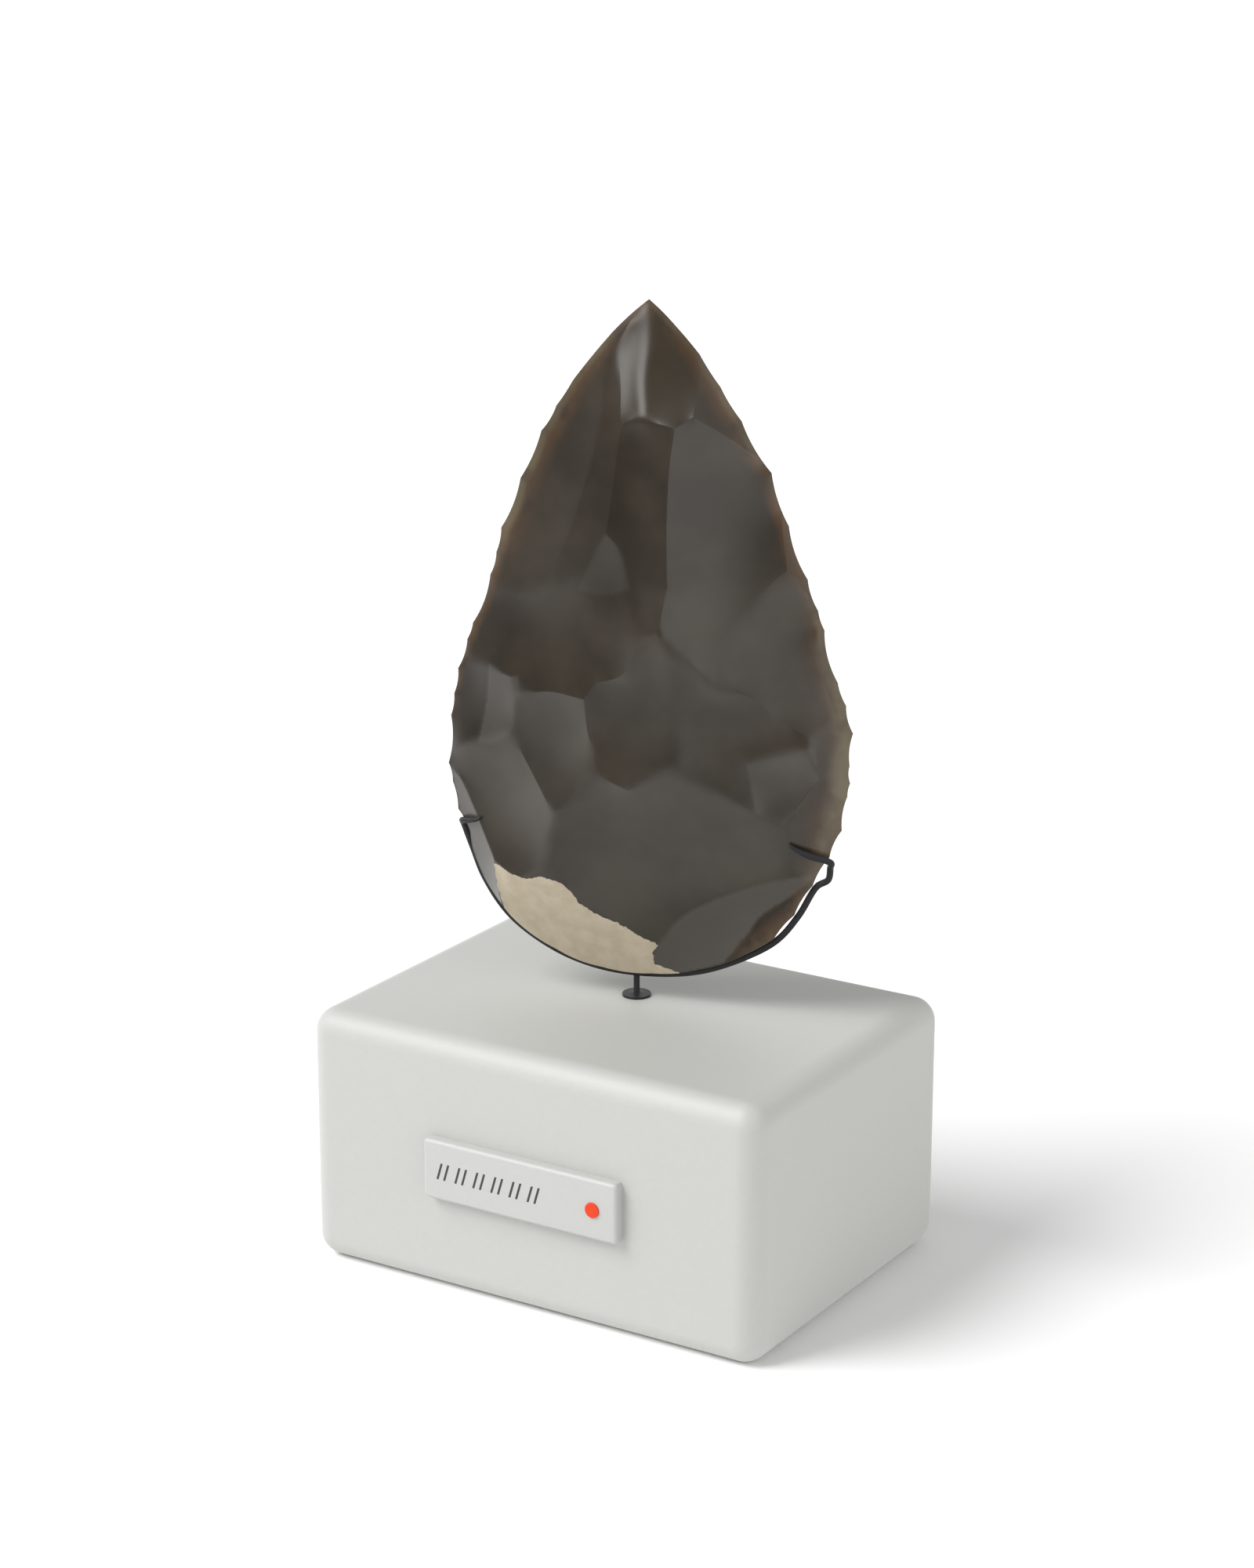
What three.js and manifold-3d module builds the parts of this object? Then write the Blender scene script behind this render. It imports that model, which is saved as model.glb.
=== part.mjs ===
// A knapped flint hand axe, held upright by a wire cradle on a plain display block.
// Millimetres, +Z up. The origin is the centre of the block's underside, and the front faces -Y.
// The stone is built in the plane of its cutting edge: x runs across, z runs up, and a height is
// measured out of that plane, towards the front or towards the back.
import * as THREE from "three";
import { RoundedBoxGeometry } from "three/addons/geometries/RoundedBoxGeometry.js";
import { mergeVertices } from "three/addons/utils/BufferGeometryUtils.js";
import Module from "manifold-3d";

// ---------------------------------------------------------------- driving dimensions

const BLOCK = { width: 125, depth: 90, height: 64, edgeRadius: 6, edgeSteps: 4 };
const PLATE = { width: 54, height: 15, thickness: 2.8, edgeRadius: 1, z: 32 };
const DOT = { x: 20.5, radius: 1.85, height: 0.4, edgeRadius: 0.15 };

const STAND = {
  x: -0.5, // where the foot stands on the block's top
  y: 5.25,
  turn: 12, // degrees, the stone's plane turned about Z from the block's front
  footRadius: 3.5,
  footHeight: 0.6,
  footBevel: 0.2,
  rodRadius: 0.75,
  wireRadius: 0.8,
  tipRadius: 0.35, // the claws taper to this
  ringBottom: 6, // height of the ring's lowest centre above the block
};

// Where the plane of the cutting edge sits from the foot's centre: across, forward and up.
const EDGE_PLANE = { across: 0.7, forward: 2, up: 0.6 };

// The stone's edge, from the tip down the left side, round the base and up the right side.
// Each knot is [x, z, bend]: bend is how far the stretch that starts there bows inwards, as a
// share of its length. Knapped stretches bow in between sharp knots, and the base bows out.
const EDGE = [
  [2.9, 169.3, -0.02],
  [-6.1, 161.1, -0.01],
  [-15.9, 149.2, 0.04],
  [-23.7, 137.0, 0.06],
  [-29.0, 125.4, 0.08],
  [-34.0, 113.1, 0.08],
  [-36.9, 101.5, 0.1],
  [-41.5, 89.3, 0.1],
  [-45.5, 77.7, 0.1],
  [-47.5, 65.8, 0.1],
  [-48.3, 54.0, 0.08],
  [-46.3, 44.5, 0.05],
  [-44.0, 35.5, -0.03],
  [-39.6, 25.0, -0.04],
  [-32.5, 16.2, -0.05],
  [-21.5, 8.9, -0.05],
  [-9.0, 6.0, -0.04],
  [4.0, 6.2, -0.04],
  [16.0, 8.6, -0.04],
  [27.5, 13.8, -0.02],
  [34.6, 18.7, 0.05],
  [39.6, 25.2, 0.07],
  [44.0, 33.0, 0.06],
  [48.0, 40.5, 0.08],
  [50.9, 47.4, 0.09],
  [52.4, 58.5, 0.1],
  [53.1, 71.0, 0.09],
  [49.3, 83.0, 0.09],
  [45.8, 95.0, 0.09],
  [41.7, 106.8, 0.09],
  [37.0, 119.0, 0.09],
  [32.7, 131.1, 0.08],
  [25.4, 142.6, 0.06],
  [20.2, 150.2, 0.03],
  [15.2, 157.2, -0.01],
  [9.5, 163.4, -0.02],
];
const EDGE_CENTRE = [2.5, 70]; // the stone's rings of vertices close in on this point

// Fine working along the edge: how steeply it rises, in degrees, and how much that varies.
const RETOUCH = { left: 38, right: 34, base: 52, varies: 5, baseTop: 34 };

// Flake scars of the front. A scar is a shallow scoop: at its seat (x, z) it has a height and
// rises by slopes across and up, in degrees. Along its heading it curves with one radius, and
// across it with another. The stone's face is the lowest of them all at each point.
const FRONT_SCARS = [
  { seat: [0, 153], height: 4.6, slope: [10.5, -16], heading: 85, along: 120, across: 30 },
  { seat: [9, 152], height: 5.8, slope: [1, -20.5], heading: 90, along: 150, across: 60 },
  { seat: [-8, 149], height: 3.9, slope: [19, -15], heading: 65, along: 150, across: 80 },
  { seat: [-20, 124], height: 5, slope: [19, -9.5], heading: 72, along: 400, across: 90 },
  { seat: [-8, 122], height: 8.9, slope: [13, -7], heading: 75, along: 400, across: 90 },
  { seat: [4, 124], height: 10.3, slope: [6, -5.5], heading: 90, along: 400, across: 60 },
  { seat: [24, 108], height: 7.5, slope: [-21, -7.5], heading: 113, along: 300, across: 90 },
  { seat: [25, 142], height: 2.6, slope: [-35.5, -25], heading: 127, along: 150, across: 80 },
  { seat: [41, 90], height: 3.9, slope: [-18.5, -9], heading: 113, along: 200, across: 90 },
  { seat: [-13, 92], height: 9.8, slope: [13.5, -5], heading: 20, along: 150, across: 90 },
  { seat: [-3, 107], height: 11.1, slope: [6, -4.5], heading: 90, along: 100, across: 35 },
  { seat: [-38, 88], height: 3.8, slope: [18, -13.5], heading: 80, along: 35, across: 80 },
  { seat: [-36, 70], height: 5.9, slope: [15, 5], heading: 80, along: 100, across: 60 },
  { seat: [-17, 64], height: 10.7, slope: [10, -0.5], heading: 90, along: 70, across: 60 },
  { seat: [3, 73], height: 12.6, slope: [-4.5, 5.5], heading: 90, along: 90, across: 70 },
  { seat: [24, 70], height: 10.2, slope: [-8.5, 6], heading: 60, along: 200, across: 100 },
  { seat: [38, 60], height: 7.7, slope: [-2.5, 3], heading: 90, along: 80, across: 45 },
  { seat: [48, 65], height: 6.9, slope: [-31, -4], heading: 90, along: 80, across: 50 },
  { seat: [8, 38], height: 6.9, slope: [-6.5, 10], heading: 90, along: 400, across: 200 },
  { seat: [-32, 48], height: 6.2, slope: [15, -0.5], heading: 100, along: 100, across: 60 },
  { seat: [42, 38], height: 4.3, slope: [-10.5, 7], heading: 60, along: 100, across: 80 },
  { seat: [30, 16], height: 1.5, slope: [-9, 11], heading: 45, along: 80, across: 60 },
];

// The back is worked more plainly: each scar is only a seat on a low dome, sunk by a depth.
const BACK_DOME = { height: 17, fullness: 0.85 };
const BACK_RADII = { along: 160, across: 75 };
const BACK_SEATS = [
  [6, 150, 0.6],
  [-12, 134, 0.8],
  [17, 126, 0.9],
  [-22, 104, 1],
  [33, 99, 0.8],
  [4, 104, 0.9],
  [-33, 76, 0.7],
  [-8, 74, 1],
  [20, 76, 0.8],
  [42, 66, 0.8],
  [-26, 44, 0.9],
  [4, 42, 0.9],
  [33, 36, 0.8],
  [-8, 18, 0.6],
  [20, 16, 0.6],
];

const DEGREES = Math.PI / 180;

// ---------------------------------------------------------------- the stone's edge

// Each stretch of the edge: its start, its direction, its length, its bow and its rise.
function edgeStretches() {
  return EDGE.map(([x, z, bend], index) => {
    const [nextX, nextZ] = EDGE[(index + 1) % EDGE.length];
    const length = Math.hypot(nextX - x, nextZ - z);
    const side = x < EDGE_CENTRE[0] ? RETOUCH.left : RETOUCH.right;
    const steepest = z < RETOUCH.baseTop ? RETOUCH.base : side;
    return {
      x,
      z,
      length,
      bow: bend * length,
      dirX: (nextX - x) / length,
      dirZ: (nextZ - z) / length,
      rise: Math.tan((steepest + RETOUCH.varies * Math.sin(2.4 * index)) * DEGREES),
    };
  });
}

// The edge as points, with the same number of steps on every stretch.
function edgePoints(stretches, stepsEach) {
  const points = [];
  for (const s of stretches)
    for (let step = 0; step < stepsEach; step++) {
      const share = step / stepsEach;
      const bow = 4 * s.bow * share * (1 - share);
      points.push([
        s.x + s.dirX * s.length * share - s.dirZ * bow,
        s.z + s.dirZ * s.length * share + s.dirX * bow,
      ]);
    }
  return points;
}

// The retouch along one stretch: a trough that starts at the edge and rises inwards.
function retouchScar(s) {
  return (x, z) => {
    const dx = x - s.x;
    const dz = z - s.z;
    const share = (dx * s.dirX + dz * s.dirZ) / s.length;
    const inward = dz * s.dirX - dx * s.dirZ;
    const along = s.bow > 0 ? share : Math.min(Math.max(share, 0), 1);
    return s.rise * (inward + 4 * s.bow * (along * along - along));
  };
}

// ---------------------------------------------------------------- flake scars

// A flake scar as a function that gives its height at any point of the plane.
function flakeScar({ seat, height, slope, heading, along, across }) {
  const cos = Math.cos(heading * DEGREES);
  const sin = Math.sin(heading * DEGREES);
  const riseX = Math.tan(slope[0] * DEGREES);
  const riseZ = Math.tan(slope[1] * DEGREES);
  return (x, z) => {
    const dx = x - seat[0];
    const dz = z - seat[1];
    const t = dx * cos + dz * sin;
    const w = dz * cos - dx * sin;
    return height + riseX * dx + riseZ * dz + (t * t) / (2 * along) + (w * w) / (2 * across);
  };
}

// Distance from the stone's centre to its edge in the direction of (x, z).
function edgeReach(points, x, z) {
  const [cx, cz] = EDGE_CENTRE;
  const dx = x - cx;
  const dz = z - cz;
  const far = Math.hypot(dx, dz) || 1;
  let reach = far;
  points.forEach(([ax, az], index) => {
    const [bx, bz] = points[(index + 1) % points.length];
    const before = (ax - cx) * dz - (az - cz) * dx;
    const after = (bx - cx) * dz - (bz - cz) * dx;
    const ahead = (ax - cx) * dx + (az - cz) * dz > 0;
    if (before * after > 0 || before === after || !ahead) return;
    const share = before / (before - after);
    reach = Math.hypot(ax + (bx - ax) * share - cx, az + (bz - az) * share - cz);
  });
  return reach;
}

// The scars of the back: each lies flat on the low dome at its seat, sunk a little.
function backScars(points) {
  const dome = (x, z) => {
    const share = Math.hypot(x - EDGE_CENTRE[0], z - EDGE_CENTRE[1]) / edgeReach(points, x, z);
    return BACK_DOME.height * Math.max(0, 1 - share * share) ** BACK_DOME.fullness;
  };
  const step = 1;
  return BACK_SEATS.map(([x, z, depth]) =>
    flakeScar({
      seat: [x, z],
      height: dome(x, z) - depth,
      slope: [
        Math.atan((dome(x + step, z) - dome(x - step, z)) / (2 * step)) / DEGREES,
        Math.atan((dome(x, z + step) - dome(x, z - step)) / (2 * step)) / DEGREES,
      ],
      heading: Math.atan2(z - EDGE_CENTRE[1], x - EDGE_CENTRE[0]) / DEGREES,
      ...BACK_RADII,
    }),
  );
}

// The lowest of all scars at a point, and which one it is.
function lowest(scars, x, z) {
  let height = Infinity;
  let scar = -1;
  scars.forEach((surface, index) => {
    const value = surface(x, z);
    if (value >= height) return;
    height = value;
    scar = index;
  });
  return { height, scar };
}

// ---------------------------------------------------------------- the stone's mesh

// Rings of vertices from the edge to the centre. Twice on the way in, every other one is left out.
function ringGrid(points, rings, spread, thinAt) {
  const vertices = [];
  const triangles = [];
  let above = null;
  for (let ring = 0; ring < rings; ring++) {
    const share = 1 - (ring / rings) ** spread;
    const skip = 2 ** thinAt.filter((level) => ring >= level).length;
    const here = { first: vertices.length, count: points.length / skip };
    for (let i = 0; i < here.count; i++) {
      const [x, z] = points[i * skip];
      vertices.push([
        EDGE_CENTRE[0] + (x - EDGE_CENTRE[0]) * share,
        EDGE_CENTRE[1] + (z - EDGE_CENTRE[1]) * share,
      ]);
    }
    if (above) joinRings(triangles, above, here);
    above = here;
  }
  const centre = vertices.push([...EDGE_CENTRE]) - 1;
  for (let i = 0; i < above.count; i++)
    triangles.push([above.first + i, above.first + ((i + 1) % above.count), centre]);
  return { vertices, triangles };
}

function joinRings(triangles, outer, inner) {
  const ratio = outer.count / inner.count;
  for (let i = 0; i < inner.count; i++) {
    const a = inner.first + i;
    const b = inner.first + ((i + 1) % inner.count);
    const p = outer.first + i * ratio;
    const q = outer.first + ((i * ratio + 1) % outer.count);
    if (ratio === 1) {
      triangles.push([p, q, a], [q, b, a]);
      continue;
    }
    const r = outer.first + ((i * ratio + 2) % outer.count);
    triangles.push([p, q, a], [q, b, a], [q, r, b]);
  }
}

function turnOf(a, b, c) {
  return (b[0] - a[0]) * (c[1] - a[1]) - (b[1] - a[1]) * (c[0] - a[0]);
}

// Moves each vertex that lies close to a ridge onto it, so the ridges between scars stay crisp.
// Vertices on the edge stay put, and no triangle may turn over or shrink to a sliver.
function snapToRidges(vertices, triangles, scars, fixedCount) {
  const moved = vertices.map(([x, z]) => [x, z]);
  const labels = vertices.map(([x, z]) => lowest(scars, x, z).scar);
  const best = vertices.map(() => ({ distance: Infinity, to: null }));
  const around = vertices.map(() => []);
  for (const triangle of triangles)
    triangle.forEach((from, corner) => {
      around[from].push(triangle);
      const to = triangle[(corner + 1) % 3];
      if (labels[from] === labels[to]) return;
      const gap = (v) => scars[labels[from]](...vertices[v]) - scars[labels[to]](...vertices[v]);
      const share = gap(from) / (gap(from) - gap(to));
      const [a, b] = [vertices[from], vertices[to]];
      const crossing = [a[0] + (b[0] - a[0]) * share, a[1] + (b[1] - a[1]) * share];
      const near = share < 0.5 ? from : to;
      const distance = Math.hypot(crossing[0] - vertices[near][0], crossing[1] - vertices[near][1]);
      if (near >= fixedCount && distance < best[near].distance)
        best[near] = { distance, to: crossing };
    });
  const smallestShare = 0.2;
  best.forEach(({ to }, index) => {
    if (!to) return;
    const before = moved[index];
    moved[index] = to;
    const fits = around[index].every(([a, b, c]) => {
      const was = turnOf(vertices[a], vertices[b], vertices[c]);
      return turnOf(moved[a], moved[b], moved[c]) / was > smallestShare;
    });
    if (!fits) moved[index] = before;
  });
  return moved;
}

// One closed surface: the front's grid and the back's grid share the vertices of the edge.
function stoneGeometry() {
  const stretches = edgeStretches();
  const points = edgePoints(stretches, 3);
  const retouch = stretches.map(retouchScar);
  const grid = ringGrid(points, 14, 1.35, [8, 11]);
  const edgeCount = points.length;
  const positions = points.flatMap(([x, z]) => [x, 0, z]);
  const indices = [];
  const addFace = (scars, side) => {
    const vertices = snapToRidges(grid.vertices, grid.triangles, scars, edgeCount);
    const offset = positions.length / 3 - edgeCount;
    vertices.slice(edgeCount).forEach(([x, z]) => {
      const thinnest = 0.3;
      positions.push(x, side * Math.max(lowest(scars, x, z).height, thinnest), z);
    });
    const place = (index) => (index < edgeCount ? index : index + offset);
    for (const [a, b, c] of grid.triangles)
      indices.push(place(a), ...(side < 0 ? [place(b), place(c)] : [place(c), place(b)]));
  };
  addFace([...FRONT_SCARS.map(flakeScar), ...retouch], -1);
  addFace([...backScars(points), ...retouch], 1);
  const geometry = new THREE.BufferGeometry();
  geometry.setAttribute("position", new THREE.Float32BufferAttribute(positions, 3));
  geometry.setIndex(indices);
  geometry.computeVertexNormals();
  return geometry;
}

// ---------------------------------------------------------------- lofts

// A closed solid through rings of points that all have the same count, with flat end caps.
function loft(rings) {
  const count = rings[0].length;
  const indices = [];
  for (let ring = 0; ring + 1 < rings.length; ring++)
    for (let i = 0; i < count; i++) {
      const next = (i + 1) % count;
      const [a, b] = [ring * count + i, ring * count + next];
      indices.push(a, b, b + count, a, b + count, a + count);
    }
  const last = (rings.length - 1) * count;
  for (let i = 1; i + 1 < count; i++)
    indices.push(0, i + 1, i, last, last + i, last + i + 1);
  const geometry = new THREE.BufferGeometry();
  geometry.setAttribute(
    "position",
    new THREE.Float32BufferAttribute(rings.flat().flatMap((p) => [p.x, p.y, p.z]), 3),
  );
  geometry.setIndex(indices);
  geometry.computeVertexNormals();
  return geometry;
}

// A disc or rod about Z from radii at heights, each given as [radius, z].
function turned(profile, sides) {
  return loft(
    profile.map(([radius, z]) =>
      Array.from({ length: sides }, (_, i) => {
        const angle = (2 * Math.PI * i) / sides;
        return new THREE.Vector3(radius * Math.cos(angle), radius * Math.sin(angle), z);
      }),
    ),
  );
}

// A wire along a smooth curve, tapering to both of its ends.
function taperedWire(points, taperLength) {
  const curve = new THREE.CatmullRomCurve3(points, false, "centripetal");
  const steps = 110;
  const sides = 8;
  const { normals, binormals } = curve.computeFrenetFrames(steps, false);
  const length = curve.getLength();
  const rings = Array.from({ length: steps + 1 }, (_, step) => {
    const share = step / steps;
    const toEnd = Math.min(share, 1 - share) * length;
    const radius = THREE.MathUtils.lerp(
      STAND.tipRadius,
      STAND.wireRadius,
      Math.min(1, toEnd / taperLength),
    );
    const centre = curve.getPointAt(share);
    return Array.from({ length: sides }, (_, i) => {
      const angle = (2 * Math.PI * i) / sides;
      return centre
        .clone()
        .addScaledVector(normals[step], radius * Math.cos(angle))
        .addScaledVector(binormals[step], radius * Math.sin(angle));
    });
  });
  return loft(rings);
}

// ---------------------------------------------------------------- the cradle

// The wire's centre line, from the left claw's tip, round behind the stone's edge, to the right
// claw's tip. Each point is across, forward of the foot and up from the block.
const LEFT_CLAW = [
  [-37.4, 8.9, 43.4],
  [-40.2, 7.6, 42.2],
  [-43.4, 5.9, 41.1],
  [-45.8, 3.6, 40.3],
  [-46.2, 1.4, 39.6],
];
const RIGHT_CLAW = [
  [48.6, 1.4, 39.8],
  [48.6, 3.9, 40.2],
  [46.6, 5.9, 41.1],
  [43.2, 7.6, 42.3],
  [39.9, 8.9, 43.5],
];
const RING_GAP = 0.8; // from the stone's edge out to the wire's centre

function cradleWire() {
  const toPoint = ([across, forward, up]) => new THREE.Vector3(across, -forward, up);
  const low = EDGE.map(([x, z], index) => {
    const [px, pz] = EDGE[(index + EDGE.length - 1) % EDGE.length];
    const [nx, nz] = EDGE[(index + 1) % EDGE.length];
    const length = Math.hypot(nx - px, nz - pz);
    return [
      x + EDGE_PLANE.across + (RING_GAP * (nz - pz)) / length,
      0,
      z + EDGE_PLANE.up - (RING_GAP * (nx - px)) / length,
    ];
  }).filter(([, , up]) => up < LEFT_CLAW[4][2] - 1);
  return taperedWire([...LEFT_CLAW, ...low, ...RIGHT_CLAW].map(toPoint), 9);
}

const wasm = await Module();
wasm.setup();

function toSolid(geometry) {
  const bare = geometry.clone();
  bare.deleteAttribute("normal");
  bare.deleteAttribute("uv");
  const merged = mergeVertices(bare);
  return new wasm.Manifold(
    new wasm.Mesh({
      numProp: 3,
      vertProperties: merged.attributes.position.array,
      triVerts: new Uint32Array(merged.index.array),
    }),
  );
}

function toGeometry(solid) {
  const mesh = solid.getMesh();
  const geometry = new THREE.BufferGeometry();
  geometry.setAttribute("position", new THREE.Float32BufferAttribute(mesh.vertProperties, 3));
  geometry.setIndex([...mesh.triVerts]);
  geometry.computeVertexNormals();
  return geometry;
}

// Wire, rod and foot brazed into one piece.
function cradleGeometry() {
  const { footRadius, footHeight, footBevel, rodRadius, ringBottom } = STAND;
  const foot = turned(
    [
      [footRadius, 0],
      [footRadius, footHeight - footBevel],
      [footRadius - 2 * footBevel, footHeight],
    ],
    32,
  );
  const rod = turned(
    [
      [rodRadius, footHeight / 2],
      [rodRadius, ringBottom],
    ],
    12,
  );
  return toGeometry(toSolid(cradleWire()).add(toSolid(rod)).add(toSolid(foot)));
}

// ---------------------------------------------------------------- block, plate and dot

// The plate: a flat back and a front whose edge is rounded over in steps.
function plateGeometry() {
  const { width, height, thickness, edgeRadius } = PLATE;
  const rectangle = (inset, forward) => {
    const [x, z] = [width / 2 - inset, height / 2 - inset];
    return [
      [-x, -z],
      [x, -z],
      [x, z],
      [-x, z],
    ].map(([px, pz]) => new THREE.Vector3(px, -forward, pz));
  };
  const steps = 3;
  const rounded = Array.from({ length: steps + 1 }, (_, step) => {
    const angle = (step / steps) * (Math.PI / 2);
    return rectangle(
      edgeRadius * (1 - Math.cos(angle)),
      thickness - edgeRadius * (1 - Math.sin(angle)),
    );
  });
  return loft([rectangle(0, 0), ...rounded]);
}

function dotGeometry() {
  const { radius, height, edgeRadius } = DOT;
  const profile = [
    [radius, 0],
    [radius, height - edgeRadius],
    [radius - edgeRadius, height],
  ];
  return turned(profile, 24).rotateX(Math.PI / 2);
}

// ---------------------------------------------------------------- the group

function namedMesh(name, geometry, color, roughness, metalness) {
  const material = new THREE.MeshStandardMaterial({ color, roughness, metalness });
  const mesh = new THREE.Mesh(geometry, material);
  mesh.name = name;
  return mesh;
}

const { width, depth, height, edgeSteps, edgeRadius } = BLOCK;
const blockShape = new RoundedBoxGeometry(width, depth, height, edgeSteps, edgeRadius);
const block = namedMesh("display_block", blockShape, 0xdcdbd6, 0.5, 0);
block.position.z = height / 2;

const plate = namedMesh("name_plate", plateGeometry(), 0xdfe0db, 0.45, 0);
plate.position.set(0, -depth / 2, PLATE.z);

const dot = namedMesh("plate_dot", dotGeometry(), 0xe75339, 0.4, 0);
dot.position.set(DOT.x, -depth / 2 - PLATE.thickness, PLATE.z);

const stone = namedMesh("hand_axe", stoneGeometry(), 0x4f4b46, 0.3, 0);
stone.position.set(EDGE_PLANE.across, -EDGE_PLANE.forward, EDGE_PLANE.up);

const cradle = namedMesh("wire_cradle", cradleGeometry(), 0x3c3c3e, 0.45, 0.8);

const held = new THREE.Group();
held.add(stone, cradle);
held.position.set(STAND.x, STAND.y, height);
held.rotation.z = STAND.turn * DEGREES;

const handAxe = new THREE.Group();
handAxe.add(block, plate, dot, held);

export default handAxe;
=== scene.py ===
"""A knapped flint hand axe, held upright by a wire cradle on a plain display block.

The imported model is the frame: every piece stands for one of its nodes and keeps that node's place
and size. Lengths are in millimetres in the classes and become metres when a mesh is made. The
stone is worked out in the plane of its cutting edge, where x runs across and z runs up.
"""

import logging
import math
from dataclasses import dataclass, field
from enum import Enum

import bmesh
import bpy
import numpy as np
from mathutils import Matrix, Vector
from mathutils.geometry import delaunay_2d_cdt
from mathutils.kdtree import KDTree


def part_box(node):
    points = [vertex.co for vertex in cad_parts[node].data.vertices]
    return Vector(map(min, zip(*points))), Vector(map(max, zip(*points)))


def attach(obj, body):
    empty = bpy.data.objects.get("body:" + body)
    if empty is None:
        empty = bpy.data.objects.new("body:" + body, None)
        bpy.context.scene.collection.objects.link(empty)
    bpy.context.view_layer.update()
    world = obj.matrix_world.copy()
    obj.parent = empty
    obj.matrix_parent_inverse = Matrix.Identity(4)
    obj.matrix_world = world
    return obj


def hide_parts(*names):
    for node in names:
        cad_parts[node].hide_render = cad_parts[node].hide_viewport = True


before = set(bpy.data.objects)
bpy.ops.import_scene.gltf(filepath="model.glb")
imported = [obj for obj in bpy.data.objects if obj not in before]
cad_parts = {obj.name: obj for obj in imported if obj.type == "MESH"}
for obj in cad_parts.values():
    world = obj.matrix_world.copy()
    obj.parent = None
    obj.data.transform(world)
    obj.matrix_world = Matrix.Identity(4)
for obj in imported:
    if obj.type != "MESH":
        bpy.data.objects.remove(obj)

log = logging.getLogger("hand_axe")
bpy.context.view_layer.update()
MM = 0.001


# ---------------------------------------------------------------- meshes


def make_object(name: str, vertices: np.ndarray, faces: list) -> bpy.types.Object:
    """Makes a smooth-shaded mesh object.

    Args:
        name: the piece's name.
        vertices: points in millimetres, one row each.
        faces: vertex numbers of each face.

    Returns:
        The object, linked to the scene.
    """
    mesh = bpy.data.meshes.new(name)
    mesh.from_pydata((np.asarray(vertices) * MM).tolist(), [], faces)
    mesh.shade_smooth()
    piece = bpy.data.objects.new(name, mesh)
    bpy.context.scene.collection.objects.link(piece)
    return piece


def clean_mesh(piece: bpy.types.Object, merge: float = 0.001) -> None:
    """Merges doubled vertices and turns all faces outwards.

    Args:
        piece: the object to clean.
        merge: largest distance between merged vertices, in millimetres.
    """
    work = bmesh.new()
    work.from_mesh(piece.data)
    bmesh.ops.remove_doubles(work, verts=work.verts, dist=merge * MM)
    bmesh.ops.recalc_face_normals(work, faces=work.faces)
    work.to_mesh(piece.data)
    work.free()


def sharpen(piece: bpy.types.Object, angle: float) -> None:
    """Marks the edges that turn by more than an angle in degrees as sharp."""
    piece.data.set_sharp_from_angle(angle=math.radians(angle))


def loft(rings: np.ndarray) -> tuple[np.ndarray, list]:
    """Joins rings of equally many points into one closed skin with capped ends.

    Args:
        rings: array of shape (rings, points, 3).

    Returns:
        The vertices and the faces.
    """
    count, sides = rings.shape[:2]
    faces = [
        (r * sides + i, r * sides + (i + 1) % sides, (r + 1) * sides + (i + 1) % sides, (r + 1) * sides + i)
        for r in range(count - 1)
        for i in range(sides)
    ]
    last = (count - 1) * sides
    faces.append(tuple(range(sides - 1, -1, -1)))
    faces.append(tuple(range(last, last + sides)))
    return rings.reshape(-1, 3), faces


def rounded_rectangle(half_x: float, half_y: float, radius: float, steps: int) -> np.ndarray:
    """A rounded rectangle as points, counted round from its right side.

    Args:
        half_x: half its width.
        half_y: half its height.
        radius: radius of its corners.
        steps: stretches on each corner.

    Returns:
        The points, one row of two each.
    """
    points = []
    for corner, (sx, sy) in enumerate([(1, 1), (-1, 1), (-1, -1), (1, -1)]):
        for step in range(steps + 1):
            angle = (corner + step / steps) * math.pi / 2
            points.append(
                (
                    sx * (half_x - radius) + radius * math.cos(angle),
                    sy * (half_y - radius) + radius * math.sin(angle),
                )
            )
    return np.array(points)


def turned(profile: list[tuple[float, float]], sides: int) -> tuple[np.ndarray, list]:
    """Turns a profile of (radius, height) points about the upright axis."""
    angles = np.arange(sides) * 2 * math.pi / sides
    rings = [np.stack([r * np.cos(angles), r * np.sin(angles), np.full(sides, z)], 1) for r, z in profile]
    return loft(np.array(rings))


def arc(centre: tuple[float, float], radius: float, start: float, end: float, steps: int) -> list:
    """Points on an arc from one angle to another, both in degrees."""
    angles = np.radians(np.linspace(start, end, steps + 1))
    return [(centre[0] + radius * math.cos(a), centre[1] + radius * math.sin(a)) for a in angles]


def travelled(line: np.ndarray) -> np.ndarray:
    """How far along a line each of its points lies."""
    return np.concatenate([[0], np.cumsum(np.linalg.norm(np.diff(line, axis=0), axis=1))])


def tree_of(points: np.ndarray) -> KDTree:
    """A search tree of points in the edge plane."""
    tree = KDTree(len(points))
    for number, (x, z) in enumerate(points):
        tree.insert((x, z, 0), number)
    tree.balance()
    return tree


def sides_of(triangles: np.ndarray) -> np.ndarray:
    """The three sides of every triangle: all first sides, all second ones, all third ones."""
    return np.vstack([triangles[:, [0, 1]], triangles[:, [1, 2]], triangles[:, [2, 0]]])


def shared_sides(triangles: np.ndarray) -> tuple[np.ndarray, np.ndarray, np.ndarray]:
    """The sides that two triangles share, and the numbers of those two triangles."""
    sides = np.sort(sides_of(triangles), axis=1)
    owner = np.tile(np.arange(len(triangles)), 3)
    order = np.lexsort((sides[:, 1], sides[:, 0]))
    sides, owner = sides[order], owner[order]
    same = (sides[1:] == sides[:-1]).all(1)
    return sides[1:][same], owner[1:][same], owner[:-1][same]


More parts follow.
